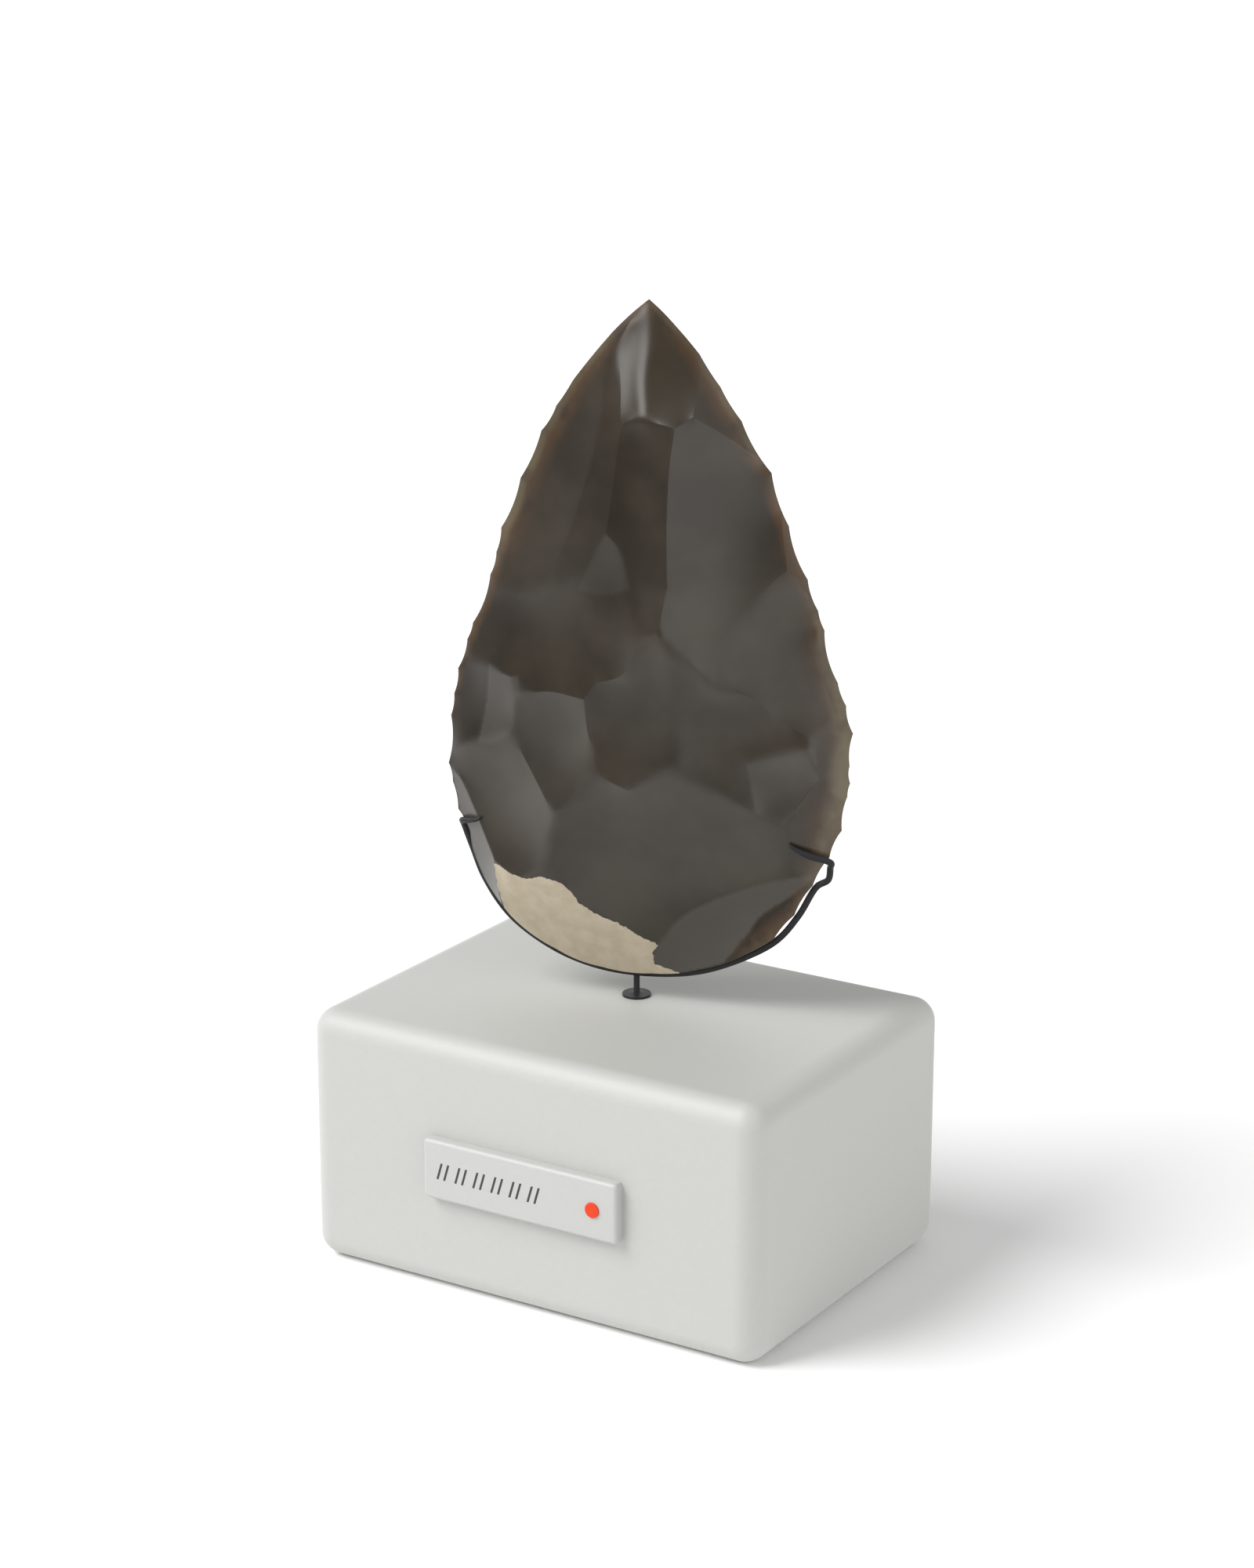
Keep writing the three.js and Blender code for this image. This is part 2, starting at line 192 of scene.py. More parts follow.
def smooth_curve(points: np.ndarray, samples: int) -> np.ndarray:
    """A centripetal Catmull-Rom curve through points, as evenly spaced samples.

    Args:
        points: the points that the curve passes through, one row each.
        samples: how many stretches the result has.

    Returns:
        The samples, one more than the stretches.
    """
    padded = np.vstack([2 * points[0] - points[1], points, 2 * points[-1] - points[-2]])
    share = np.linspace(0, 1, 40)[:, None]
    dense = []
    for p0, p1, p2, p3 in zip(padded, padded[1:], padded[2:], padded[3:]):
        d0, d1, d2 = (math.sqrt(np.linalg.norm(b - a)) for a, b in ((p0, p1), (p1, p2), (p2, p3)))
        t1 = ((p1 - p0) / d0 - (p2 - p0) / (d0 + d1) + (p2 - p1) / d1) * d1
        t2 = ((p2 - p1) / d1 - (p3 - p1) / (d1 + d2) + (p3 - p2) / d2) * d1
        a, b = 2 * p1 - 2 * p2 + t1 + t2, -3 * p1 + 3 * p2 - 2 * t1 - t2
        dense.append(((a * share + b) * share + t1) * share + p1)
    line = np.vstack(dense)
    reached = travelled(line)
    wanted = np.linspace(0, reached[-1], samples + 1)
    return np.stack([np.interp(wanted, reached, line[:, axis]) for axis in range(3)], 1)


def tube(line: np.ndarray, radii: np.ndarray, sides: int) -> tuple[np.ndarray, list]:
    """A round tube along a line, with a frame that is carried along without twist.

    Args:
        line: points of the centre line.
        radii: the tube's radius at each of them.
        sides: points round the tube.

    Returns:
        The vertices and the faces.
    """
    along = np.gradient(line, axis=0)
    along /= np.linalg.norm(along, axis=1)[:, None]
    normal = np.cross(along[0], (0.0, 0.0, 1.0))
    angles = np.arange(sides) * 2 * math.pi / sides
    rings = []
    for point, direction, radius in zip(line, along, radii):
        normal = normal - direction * (normal @ direction)
        normal /= np.linalg.norm(normal)
        side = np.cross(direction, normal)
        rings.append(point + radius * (np.outer(np.cos(angles), normal) + np.outer(np.sin(angles), side)))
    return loft(np.array(rings))


# ---------------------------------------------------------------- shader nodes


class Nodes:
    """A short hand for building a node tree."""

    def __init__(self, tree: bpy.types.NodeTree) -> None:
        """Starts with an empty tree."""
        self.tree = tree
        tree.nodes.clear()

    def add(self, kind: str, **settings: object) -> bpy.types.Node:
        """Adds a node and sets its properties."""
        node = self.tree.nodes.new(kind)
        for name, value in settings.items():
            setattr(node, name, value)
        return node

    def feed(self, socket: bpy.types.NodeSocket, value: object) -> None:
        """Links a socket into another, or sets it to a plain value."""
        if isinstance(value, bpy.types.NodeSocket):
            self.tree.links.new(value, socket)
        else:
            socket.default_value = value

    def math(
        self, operation: str, a: object, b: object = 0.0, clamp: bool = False
    ) -> bpy.types.NodeSocket:
        """Adds a Math node and returns its output."""
        node = self.add("ShaderNodeMath", operation=operation, use_clamp=clamp)
        self.feed(node.inputs[0], a)
        self.feed(node.inputs[1], b)
        return node.outputs[0]

    def scaled(self, value: object, by: float, plus: float) -> bpy.types.NodeSocket:
        """Multiplies a value by one number and adds another."""
        made = self.math("MULTIPLY_ADD", value, by)
        made.node.inputs[2].default_value = plus
        return made

    def smooth_range(self, value: object, low: float, high: float) -> bpy.types.NodeSocket:
        """Maps low..high to 0..1 with a smooth start and end."""
        node = self.add("ShaderNodeMapRange", interpolation_type="SMOOTHSTEP")
        self.feed(node.inputs["Value"], value)
        node.inputs["From Min"].default_value = low
        node.inputs["From Max"].default_value = high
        return node.outputs["Result"]

    def mix(self, share: object, a: object, b: object) -> bpy.types.NodeSocket:
        """Mixes two colours and returns the result."""
        node = self.add("ShaderNodeMix", data_type="RGBA")
        self.feed(node.inputs[0], share)
        for socket, value in ((node.inputs[6], a), (node.inputs[7], b)):
            self.feed(socket, (*value, 1.0) if isinstance(value, tuple) and len(value) == 3 else value)
        return node.outputs[2]

    def grain(self, scale: float, depth: float) -> bpy.types.Node:
        """Adds the shared grain at a scale and a depth."""
        node = self.add("ShaderNodeGroup", node_tree=grain_group())
        node.inputs["Scale"].default_value = scale
        node.inputs["Depth"].default_value = depth
        return node

    def surface(self, colour: object, rough: object, height: object, sheen: float = 0.5) -> None:
        """Ends a material in its shader, given a colour, a roughness and a height in millimetres."""
        shader = self.add("ShaderNodeBsdfPrincipled")
        shader.inputs["Specular IOR Level"].default_value = sheen
        self.feed(shader.inputs["Base Color"], colour)
        self.feed(shader.inputs["Roughness"], rough)
        bump = self.add("ShaderNodeBump")
        bump.inputs["Distance"].default_value = MM
        self.feed(bump.inputs["Height"], height)
        self.feed(shader.inputs["Normal"], bump.outputs["Normal"])
        out = self.add("ShaderNodeOutputMaterial")
        self.feed(out.inputs["Surface"], shader.outputs["BSDF"])

    def attribute(self, name: str) -> bpy.types.NodeSocket:
        """Reads a number kept on the mesh's vertices."""
        return self.add("ShaderNodeAttribute", attribute_name=name).outputs["Fac"]

    def noise(self, place: object, scale: float, detail: float = 2.0) -> bpy.types.NodeSocket:
        """Adds a noise texture and returns its value."""
        node = self.add("ShaderNodeTexNoise")
        self.feed(node.inputs["Vector"], place)
        node.inputs["Scale"].default_value = scale
        node.inputs["Detail"].default_value = detail
        return node.outputs["Fac"]


def grain_group() -> bpy.types.NodeTree:
    """The fine grain that every finish shares.

    Returns:
        A group with inputs Scale and Depth, and outputs Mask (0 to 1) and Height.
    """
    name = "fine_grain"
    if name in bpy.data.node_groups:
        return bpy.data.node_groups[name]
    group = bpy.data.node_groups.new(name, "ShaderNodeTree")
    group.interface.new_socket("Scale", in_out="INPUT", socket_type="NodeSocketFloat")
    group.interface.new_socket("Depth", in_out="INPUT", socket_type="NodeSocketFloat")
    group.interface.new_socket("Mask", in_out="OUTPUT", socket_type="NodeSocketFloat")
    group.interface.new_socket("Height", in_out="OUTPUT", socket_type="NodeSocketFloat")
    nodes = Nodes(group)
    given = nodes.add("NodeGroupInput")
    place = nodes.add("ShaderNodeTexCoord").outputs["Object"]
    texture = nodes.add("ShaderNodeTexNoise")
    nodes.feed(texture.inputs["Vector"], place)
    nodes.feed(texture.inputs["Scale"], given.outputs["Scale"])
    texture.inputs["Detail"].default_value = 3.0
    made = nodes.add("NodeGroupOutput")
    nodes.feed(made.inputs["Mask"], texture.outputs["Fac"])
    height = nodes.math("MULTIPLY", texture.outputs["Fac"], given.outputs["Depth"])
    nodes.feed(made.inputs["Height"], height)
    return group


@dataclass(frozen=True)
class Finish:
    """A plain finish: one colour with a fine grain."""

    name: str
    colour: tuple[float, float, float]
    roughness: float
    grain_scale: float = 900.0
    grain_depth: float = 0.02
    mottle: float = 0.03
    unevenness: float = 0.08  # of the roughness
    sheen: float = 0.5

    def material(self) -> bpy.types.Material:
        """Builds the material.

        Returns:
            The material, with its grain in the colour, the roughness and the bump.
        """
        material = bpy.data.materials.new(self.name)
        material.use_nodes = True
        nodes = Nodes(material.node_tree)
        grain = nodes.grain(self.grain_scale, self.grain_depth)
        mask = grain.outputs["Mask"]
        darker = tuple(c * (1 - self.mottle) for c in self.colour)
        lighter = tuple(c * (1 + self.mottle) for c in self.colour)
        colour = self.dressed(nodes, nodes.mix(mask, darker, lighter))
        rough = nodes.scaled(mask, self.unevenness, self.roughness - self.unevenness / 2)
        nodes.surface(colour, rough, grain.outputs["Height"], self.sheen)
        return material

    def dressed(self, nodes: Nodes, colour: bpy.types.NodeSocket) -> bpy.types.NodeSocket:
        """What is painted over the plain colour; nothing here."""
        return colour


@dataclass(frozen=True)
class InkedPlastic(Finish):
    """The name plate's plastic, with a row of slanting ink strokes that spell nothing."""

    ink: tuple[float, float, float] = (0.03, 0.03, 0.03)
    first: float = -21.3  # middle of the first stroke, from the plate's centre
    pitch: float = 5.1
    strokes: int = 6
    height: float = 4.2
    width: float = 0.62
    apart: float = 1.9  # the strokes come in pairs
    slant: float = 0.3  # across per up

    def dressed(self, nodes: Nodes, colour: bpy.types.NodeSocket) -> bpy.types.NodeSocket:
        """Paints the strokes over the plain colour.

        Args:
            nodes: the material's nodes.
            colour: the plastic's colour.

        Returns:
            The colour with the ink on it.
        """
        place = nodes.add("ShaderNodeSeparateXYZ")
        nodes.feed(place.inputs[0], nodes.add("ShaderNodeTexCoord").outputs["Object"])
        x = nodes.math("DIVIDE", place.outputs["X"], MM)
        z = nodes.math("DIVIDE", place.outputs["Z"], MM)
        upright = nodes.math("SUBTRACT", x, nodes.math("MULTIPLY", z, self.slant))
        count = nodes.math("DIVIDE", nodes.math("SUBTRACT", upright, self.first), self.pitch)
        nearest = nodes.math("ROUND", count)
        off = nodes.math("ABSOLUTE", nodes.math("SUBTRACT", count, nearest))
        off = nodes.math("MULTIPLY", off, self.pitch)
        off = nodes.math("ABSOLUTE", nodes.math("SUBTRACT", off, self.apart / 2))
        within = nodes.math("LESS_THAN", off, self.width / 2)
        low = nodes.math("GREATER_THAN", nearest, -0.5)
        high = nodes.math("LESS_THAN", nearest, self.strokes - 0.5)
        tall = nodes.math("LESS_THAN", nodes.math("ABSOLUTE", z), self.height / 2)
        ends = nodes.math("MULTIPLY", nodes.math("MULTIPLY", low, high), tall)
        return nodes.mix(nodes.math("MULTIPLY", within, ends), colour, self.ink)


@dataclass(frozen=True)
class Flint:
    """Glossy brown flint with chalky cortex left at the base; honey-coloured where it is thin, and paler
    there with painted light as if shining through; and painted reflection and painted shade on some scars.
    """

    body: tuple[float, float, float] = (0.041, 0.032, 0.022)
    dark: tuple[float, float, float] = (0.022, 0.0165, 0.011)
    # The darkest colour is painted shade and the grey one painted reflection, both laid on scar by scar.
    painted_shade_colour: tuple[float, float, float] = (0.013, 0.008, 0.003)
    reflection_grey: tuple[float, float, float] = (0.08, 0.074, 0.066)
    rust: tuple[float, float, float] = (0.075, 0.042, 0.022)
    # The olive colour is painted light shining through the thin edge.
    olive: tuple[float, float, float] = (0.15, 0.127, 0.08)
    cortex: tuple[float, float, float] = (0.47, 0.41, 0.31)
    cortex_dark: tuple[float, float, float] = (0.41, 0.35, 0.255)
    gloss: float = 0.24
    chalk: float = 0.85
    grain_scale: float = 700.0
    grain_depth: float = 0.12
    # Sizes of the noises: the larger the number, the finer the noise.
    cloud_scale: float = 45.0
    patch_scale: float = 130.0
    streak_scale: float = 160.0
    blotch_scale: float = 260.0
    border_scale: float = 900.0
    border_reach: float = 1.1  # how far the cortex's border wanders, in millimetres
    border_blur: float = 0.08

    def material(self) -> bpy.types.Material:
        """Builds the material.

        Returns:
            The flint, which reads the colouring and the cortex kept on the stone's vertices.
        """
        material = bpy.data.materials.new("knapped_flint")
        material.use_nodes = True
        nodes = Nodes(material.node_tree)
        place = nodes.add("ShaderNodeTexCoord").outputs["Object"]
        mask = self.cortex_mask(nodes, place)
        blotch = nodes.smooth_range(nodes.noise(place, self.blotch_scale, 4.0), 0.3, 0.7)
        chalk = nodes.mix(blotch, self.cortex_dark, self.cortex)
        colour = nodes.mix(mask, self.stone_colour(nodes, place), chalk)
        rough = nodes.scaled(mask, self.chalk - self.gloss, self.gloss)
        grain = nodes.grain(self.grain_scale, self.grain_depth)
        nodes.surface(colour, rough, nodes.math("MULTIPLY", grain.outputs["Height"], mask))
        return material

    def cortex_mask(self, nodes: Nodes, place: bpy.types.NodeSocket) -> bpy.types.NodeSocket:
        """Where the cortex shows: inside its border, which is finely ragged."""
        centred = nodes.math("SUBTRACT", nodes.noise(place, self.border_scale), 0.5)
        ragged = nodes.math("MULTIPLY", centred, self.border_reach)
        inside = nodes.math("ADD", nodes.attribute("cortex"), ragged)
        return nodes.smooth_range(inside, -self.border_blur, self.border_blur)

    def stone_colour(self, nodes: Nodes, place: bpy.types.NodeSocket) -> bpy.types.NodeSocket:
        """The flint's colour: its body, greyer with painted reflection and darker with painted shade scar
        by scar, warm towards the thin edge and paler there with painted light as if shining through.
        """
        cloud = nodes.smooth_range(nodes.noise(place, self.cloud_scale, 3.0), 0.3, 0.7)
        body = nodes.mix(cloud, self.body, self.dark)
        # Painted light: scars with painted reflection go grey, scars with painted shade go near-black.
        painted_body = nodes.mix(nodes.attribute("tone"), body, self.reflection_grey)
        deep = nodes.math("MULTIPLY", nodes.attribute("tone"), -1.0, clamp=True)
        painted_body = nodes.mix(deep, painted_body, self.painted_shade_colour)
        streak = nodes.smooth_range(nodes.noise(place, self.streak_scale), 0.2, 0.6)
        warm = nodes.mix(nodes.math("MULTIPLY", nodes.attribute("warm"), streak), painted_body, self.rust)
        # Painted light as if shining through the thin edge, in patches.
        patchy = nodes.smooth_range(nodes.noise(place, self.patch_scale), 0.35, 0.6)
        pale = nodes.math("MULTIPLY", nodes.attribute("pale"), nodes.scaled(patchy, 0.5, 0.5))
        return nodes.mix(pale, warm, self.olive)


# ---------------------------------------------------------------- the stone


@dataclass(frozen=True)
class Scar:
    """A flake scar: a shallow scoop with its height and slopes (degrees) at its seat, and the reflection or
    shade painted into its colour.
    """

    x: float
    z: float
    height: float
    slope: tuple[float, float]
    heading: float
    along: float
    across: float
    # painted light: above 0 a painted reflection greys the scar, below 0 a painted shade darkens it
    tone: float = 0.0

    def axes(self) -> tuple[float, float, float, float]:
        """Its heading's cosine and sine, and its rise per millimetre across and up at its seat."""
        heading = math.radians(self.heading)
        return math.cos(heading), math.sin(heading), *(math.tan(math.radians(s)) for s in self.slope)

    def at(self, x: np.ndarray, z: np.ndarray) -> np.ndarray:
        """The scoop's height at points of the edge plane."""
        dx, dz = x - self.x, z - self.z
        cos, sin, rise_x, rise_z = self.axes()
        t, w = dx * cos + dz * sin, dz * cos - dx * sin
        plane = self.height + rise_x * dx + rise_z * dz
        return plane + t * t / (2 * self.along) + w * w / (2 * self.across)

    def rise(self, points: np.ndarray) -> np.ndarray:
        """The scoop's rise per millimetre, across and up, at points of the edge plane."""
        dx, dz = points[:, 0] - self.x, points[:, 1] - self.z
        cos, sin, rise_x, rise_z = self.axes()
        t, w = (dx * cos + dz * sin) / self.along, (dz * cos - dx * sin) / self.across
        return np.stack([rise_x + t * cos - w * sin, rise_z + t * sin + w * cos], 1)


@dataclass(frozen=True)
class Stretch:
    """A stretch of the cutting edge between two knots, and the retouch that rises from it."""

    start: tuple[float, float]
    direction: tuple[float, float]
    length: float
    bow: float
    rise: float

    def point(self, share: float) -> tuple[float, float]:
        """A point of the edge at a share of the stretch."""
        along, out = share * self.length, 4 * self.bow * share * (1 - share)
        dx, dz = self.direction
        return self.start[0] + dx * along - dz * out, self.start[1] + dz * along + dx * out

    def at(self, x: np.ndarray, z: np.ndarray) -> np.ndarray:
        """The retouch trough's height: nothing on the edge, and rising inwards."""
        dx, dz = x - self.start[0], z - self.start[1]
        share = (dx * self.direction[0] + dz * self.direction[1]) / self.length
        inward = dz * self.direction[0] - dx * self.direction[1]
        if self.bow <= 0:
            share = np.clip(share, 0, 1)
        return self.rise * (inward + 4 * self.bow * (share * share - share))


@dataclass(frozen=True)
class Blush:
    """A place on the edge where the flint is thin, paler with painted light as if shining through, and warm
    just inside.
    """

    x: float
    z: float
    reach: float
    width: float
    # share of painted light shining through the thin edge here
    pale: float
    warm: float


@dataclass(frozen=True)
class Ridge:
    """A ridge between two scars: its course, and how worn it is at each end (0 crisp, 1 gone).

    A course is made of named junctions and of points of its own. Where it says "edge", it ends
    on the cutting edge, at the place nearest to the point that follows or comes before.
    """

    course: tuple[str | tuple[float, float], ...]
    wear: tuple[float, float] = (0.0, 0.0)


@dataclass
class HandAxe:
    """The stone: its edge, its flake scars on both faces, and the cortex left at its base."""

    node: str = "hand_axe"
    slot: str = "stone"
    offset: tuple[float, float, float] = (0.7, -2.0, 0.6)
    centre: tuple[float, float] = (2.5, 70.0)
    edge_spacing: float = 0.6
    front_spacing: float = 0.65
    back_spacing: float = 0.9
    retouch: dict[str, float] = field(
        default_factory=lambda: {"left": 38, "right": 34, "base": 52, "varies": 5, "base_top": 34}
    )
    least_height: float = 0.05
    line_clearance: float = 0.55  # how near a filling vertex comes to a line, as a share of the spacing
    merge_distance: float = 1e-4
    course_spacing: float = 0.5
    crisp_below: float = 0.25  # a ridge worn less than this is a sharp line
    farthest_shift: float = 0.75  # of a vertex onto a ridge of the back, as a share of the spacing
    shift_passes: int = 14
    least_squeeze: float = 0.2  # what such a shift leaves of a triangle's area at least
    wear_strength: float = 0.8
    wear_sharpness: float = 1.5
    settled_below: float = 1e-10
    # How much two retouch troughs round into each other: a share of the height, within limits.
    trough_share: float = 0.12
    trough_limits: tuple[float, float] = (0.005, 0.5)
    # Where the painted light through the thin edge and the warm part start to fade and how long they
    # take, as shares of a blush's width.
    pale_fade: tuple[float, float] = (0.4, 0.9)
    warm_fade: tuple[float, float] = (1.0, 2.2)
    retouch_rhythm: float = 2.4
    # From the tip down the left side, round the base and up the right: x, z and inward bend.
    edge: tuple[tuple[float, float, float], ...] = (
        (2.9, 169.3, -0.02), (-6.1, 161.1, -0.01), (-15.9, 149.2, 0.02), (-19.9, 143.2, 0.05),
        (-23.7, 137.0, 0.04), (-29.0, 125.4, 0.05), (-34.0, 113.1, 0.05), (-35.3, 107.1, 0.06),
        (-36.9, 101.5, 0.06), (-41.5, 89.3, 0.05), (-43.0, 85.2, 0.06), (-45.5, 77.7, 0.06),
        (-46.6, 71.4, 0.05), (-47.5, 65.8, 0.06), (-48.3, 53.8, 0.06), (-47.3, 49.2, 0.05),
        (-46.0, 42.4, 0.03), (-44.4, 40.0, 0.02), (-43.0, 37.4, -0.02), (-42.3, 32.5, -0.02),
        (-39.3, 25.4, -0.03), (-32.6, 16.6, -0.05), (-20.6, 9.4, -0.05), (-9.0, 6.3, -0.04),
        (4.0, 6.2, -0.04), (16.0, 8.6, -0.04), (27.5, 13.8, -0.02), (34.6, 18.7, 0.04),
        (39.6, 25.2, 0.05), (44.0, 33.0, 0.05), (48.0, 40.5, 0.06), (50.9, 47.4, 0.06),
        (52.1, 55.8, 0.05), (52.7, 59.1, 0.08), (52.5, 63.3, 0.06), (53.2, 71.2, 0.07),
        (51.4, 77.7, 0.05), (49.3, 83.0, 0.07), (45.9, 95.2, 0.05), (44.3, 99.7, 0.06),
        (41.7, 106.8, 0.06), (37.0, 119.0, 0.05), (32.7, 131.1, 0.05), (25.4, 142.6, 0.03),
        (20.2, 150.2, 0.02), (15.2, 157.3, -0.01), (9.5, 163.4, -0.02),
    )
    # Each scar of the front, by a place inside it. A last number, where given, is painted light:
    # above 0 a painted reflection that greys its colour, below 0 a painted shade that darkens it.
    front: tuple[Scar, ...] = (
        Scar(0, 153, 3.1, (8, -18), 85, 200, 40),  # the bright flake at the tip
        Scar(9, 152, 3, (-9, -16), 90, 150, 400),  # right of it
        Scar(25, 142, 1.3, (-33, -25), 127, 150, 80),  # upper right edge
        Scar(-20, 124, 2.9, (18, -8), 72, 400, 90, 0.05),  # long, down the left
        Scar(-8, 122, 6.7, (13, -6.5), 75, 2000, 90),  # between it and the column
        Scar(4, 124, 7.9, (6, -5), 90, 600, 60),  # the dark column
        Scar(24, 108, 5.4, (-17.5, -6.5), 113, 400, 100, 0.1),  # the largest, upper right
        Scar(41, 90, 2.4, (-18.5, -7), 113, 400, 120),  # below it
        Scar(-3, 107, 8.5, (9, -1), 90, 150, 35, 0.15),  # the kite
        Scar(-13, 92, 7.8, (14, -6), 20, 400, 300),  # wide and dark, middle left
        Scar(-38.5, 84.5, 1.7, (17, -12), 80, 60, 80),  # left edge
        Scar(-43, 70, 0.9, (13, -9), 90, 60, 60, -1.0),  # hollow in the left edge
        Scar(-33, 70, 4.1, (15, 3), 80, 100, 60, 0.35),  # beside the hollow
        Scar(-28.3, 76, 5.5, (14, 2), 90, 60, 60, 0.2),  # a sliver
        Scar(-17, 64, 7.7, (10, 1.5), 90, 48, 100, 0.1),  # the shield, left of the middle
        Scar(3, 73, 8.8, (-4, 0), 90, 130, 200),  # the middle
        Scar(24, 70, 7.3, (-9, 3), -30, 80, 100),  # right of the middle
        Scar(38, 60, 4.4, (-2, 16), 90, 50, 45, 0.3),  # a small square one at the right
        Scar(48, 65, 2.6, (-31, -2), 90, 80, 50, 0.2),  # at its right
        Scar(8, 38, 5.3, (-6, 8), 90, 400, 200, 0.12),  # the broad base
        Scar(-32, 48, 3.9, (14, 3), 90, 45, 150, 0.12),  # lower left
        # brighter still with painted reflection
        Scar(-42, 40, 1.5, (32, 4), 90, 90, 90, 1.0),  # a bright strip along the left of the base
        Scar(42.5, 40, 2.4, (-18, 9), 60, 100, 80),  # lower right
        Scar(24, 20, 1.6, (-2.3, 12), 45, 80, 60, 0.65),  # along the base's right
        Scar(36, 26, 1, (-16, -8), 45, 80, 60, -1.0),  # and next to the edge there
        Scar(-16, 20, 6, (-2, 19), 0, -60, -60),  # the round cortex
    )
    junctions: dict[str, tuple[float, float]] = field(
        default_factory=lambda: {
            "shoulder": (-4.4, 159.3), "tip_foot": (-1.9, 140.4), "heel": (3.8, 142.7),
            "crest": (11.6, 141.2), "fork": (15.5, 143.9), "right_shoulder": (30.6, 133.6),
            "hip": (37.3, 109.1), "waist": (11.3, 104.5), "column_right": (9.8, 93.8),
            "column_left": (5.8, 93.0), "middle_top": (12.3, 90.8), "keel": (22.5, 82.2),
            "flank": (45.3, 70.1), "flank_out": (49.4, 75.6), "flank_low": (49.9, 61.7),
            "kite_top": (-4.7, 115.6), "kite_right": (1.7, 103.5), "kite_left": (-12.0, 101.7),
            "long_top": (-6.8, 144.5), "long_foot": (-21.8, 100.0), "left_high": (-31.4, 87.8),
            "left_step": (-36.6, 80.6), "notch_left": (-29.8, 78.4), "notch_right": (-27.8, 79.1),
            "notch_foot": (-27.0, 74.7), "notch_side": (-28.7, 72.3), "left_fork": (-29.6, 64.9),
            "hollow_foot": (-39.5, 61.0), "saddle": (-9.4, 76.1), "middle_left": (-7.1, 61.1),
            "middle_foot": (1.2, 54.4), "middle_right": (12.0, 61.2), "shield_foot": (-17.4, 45.8),
            "square_left": (29.3, 63.0), "square_low": (31.3, 51.1), "square_foot": (38.0, 48.5),
            "square_right": (46.2, 60.3), "square_top": (45.4, 68.5), "low_crest": (39.0, 34.8),
            "band_foot": (46.4, 36.3), "wedge": (28.7, 19.7), "strip_foot": (-34.9, 32.0),
            "cortex_left": (-21.3, 30.8), "cortex_right": (6.2, 14.5),
        }
    )
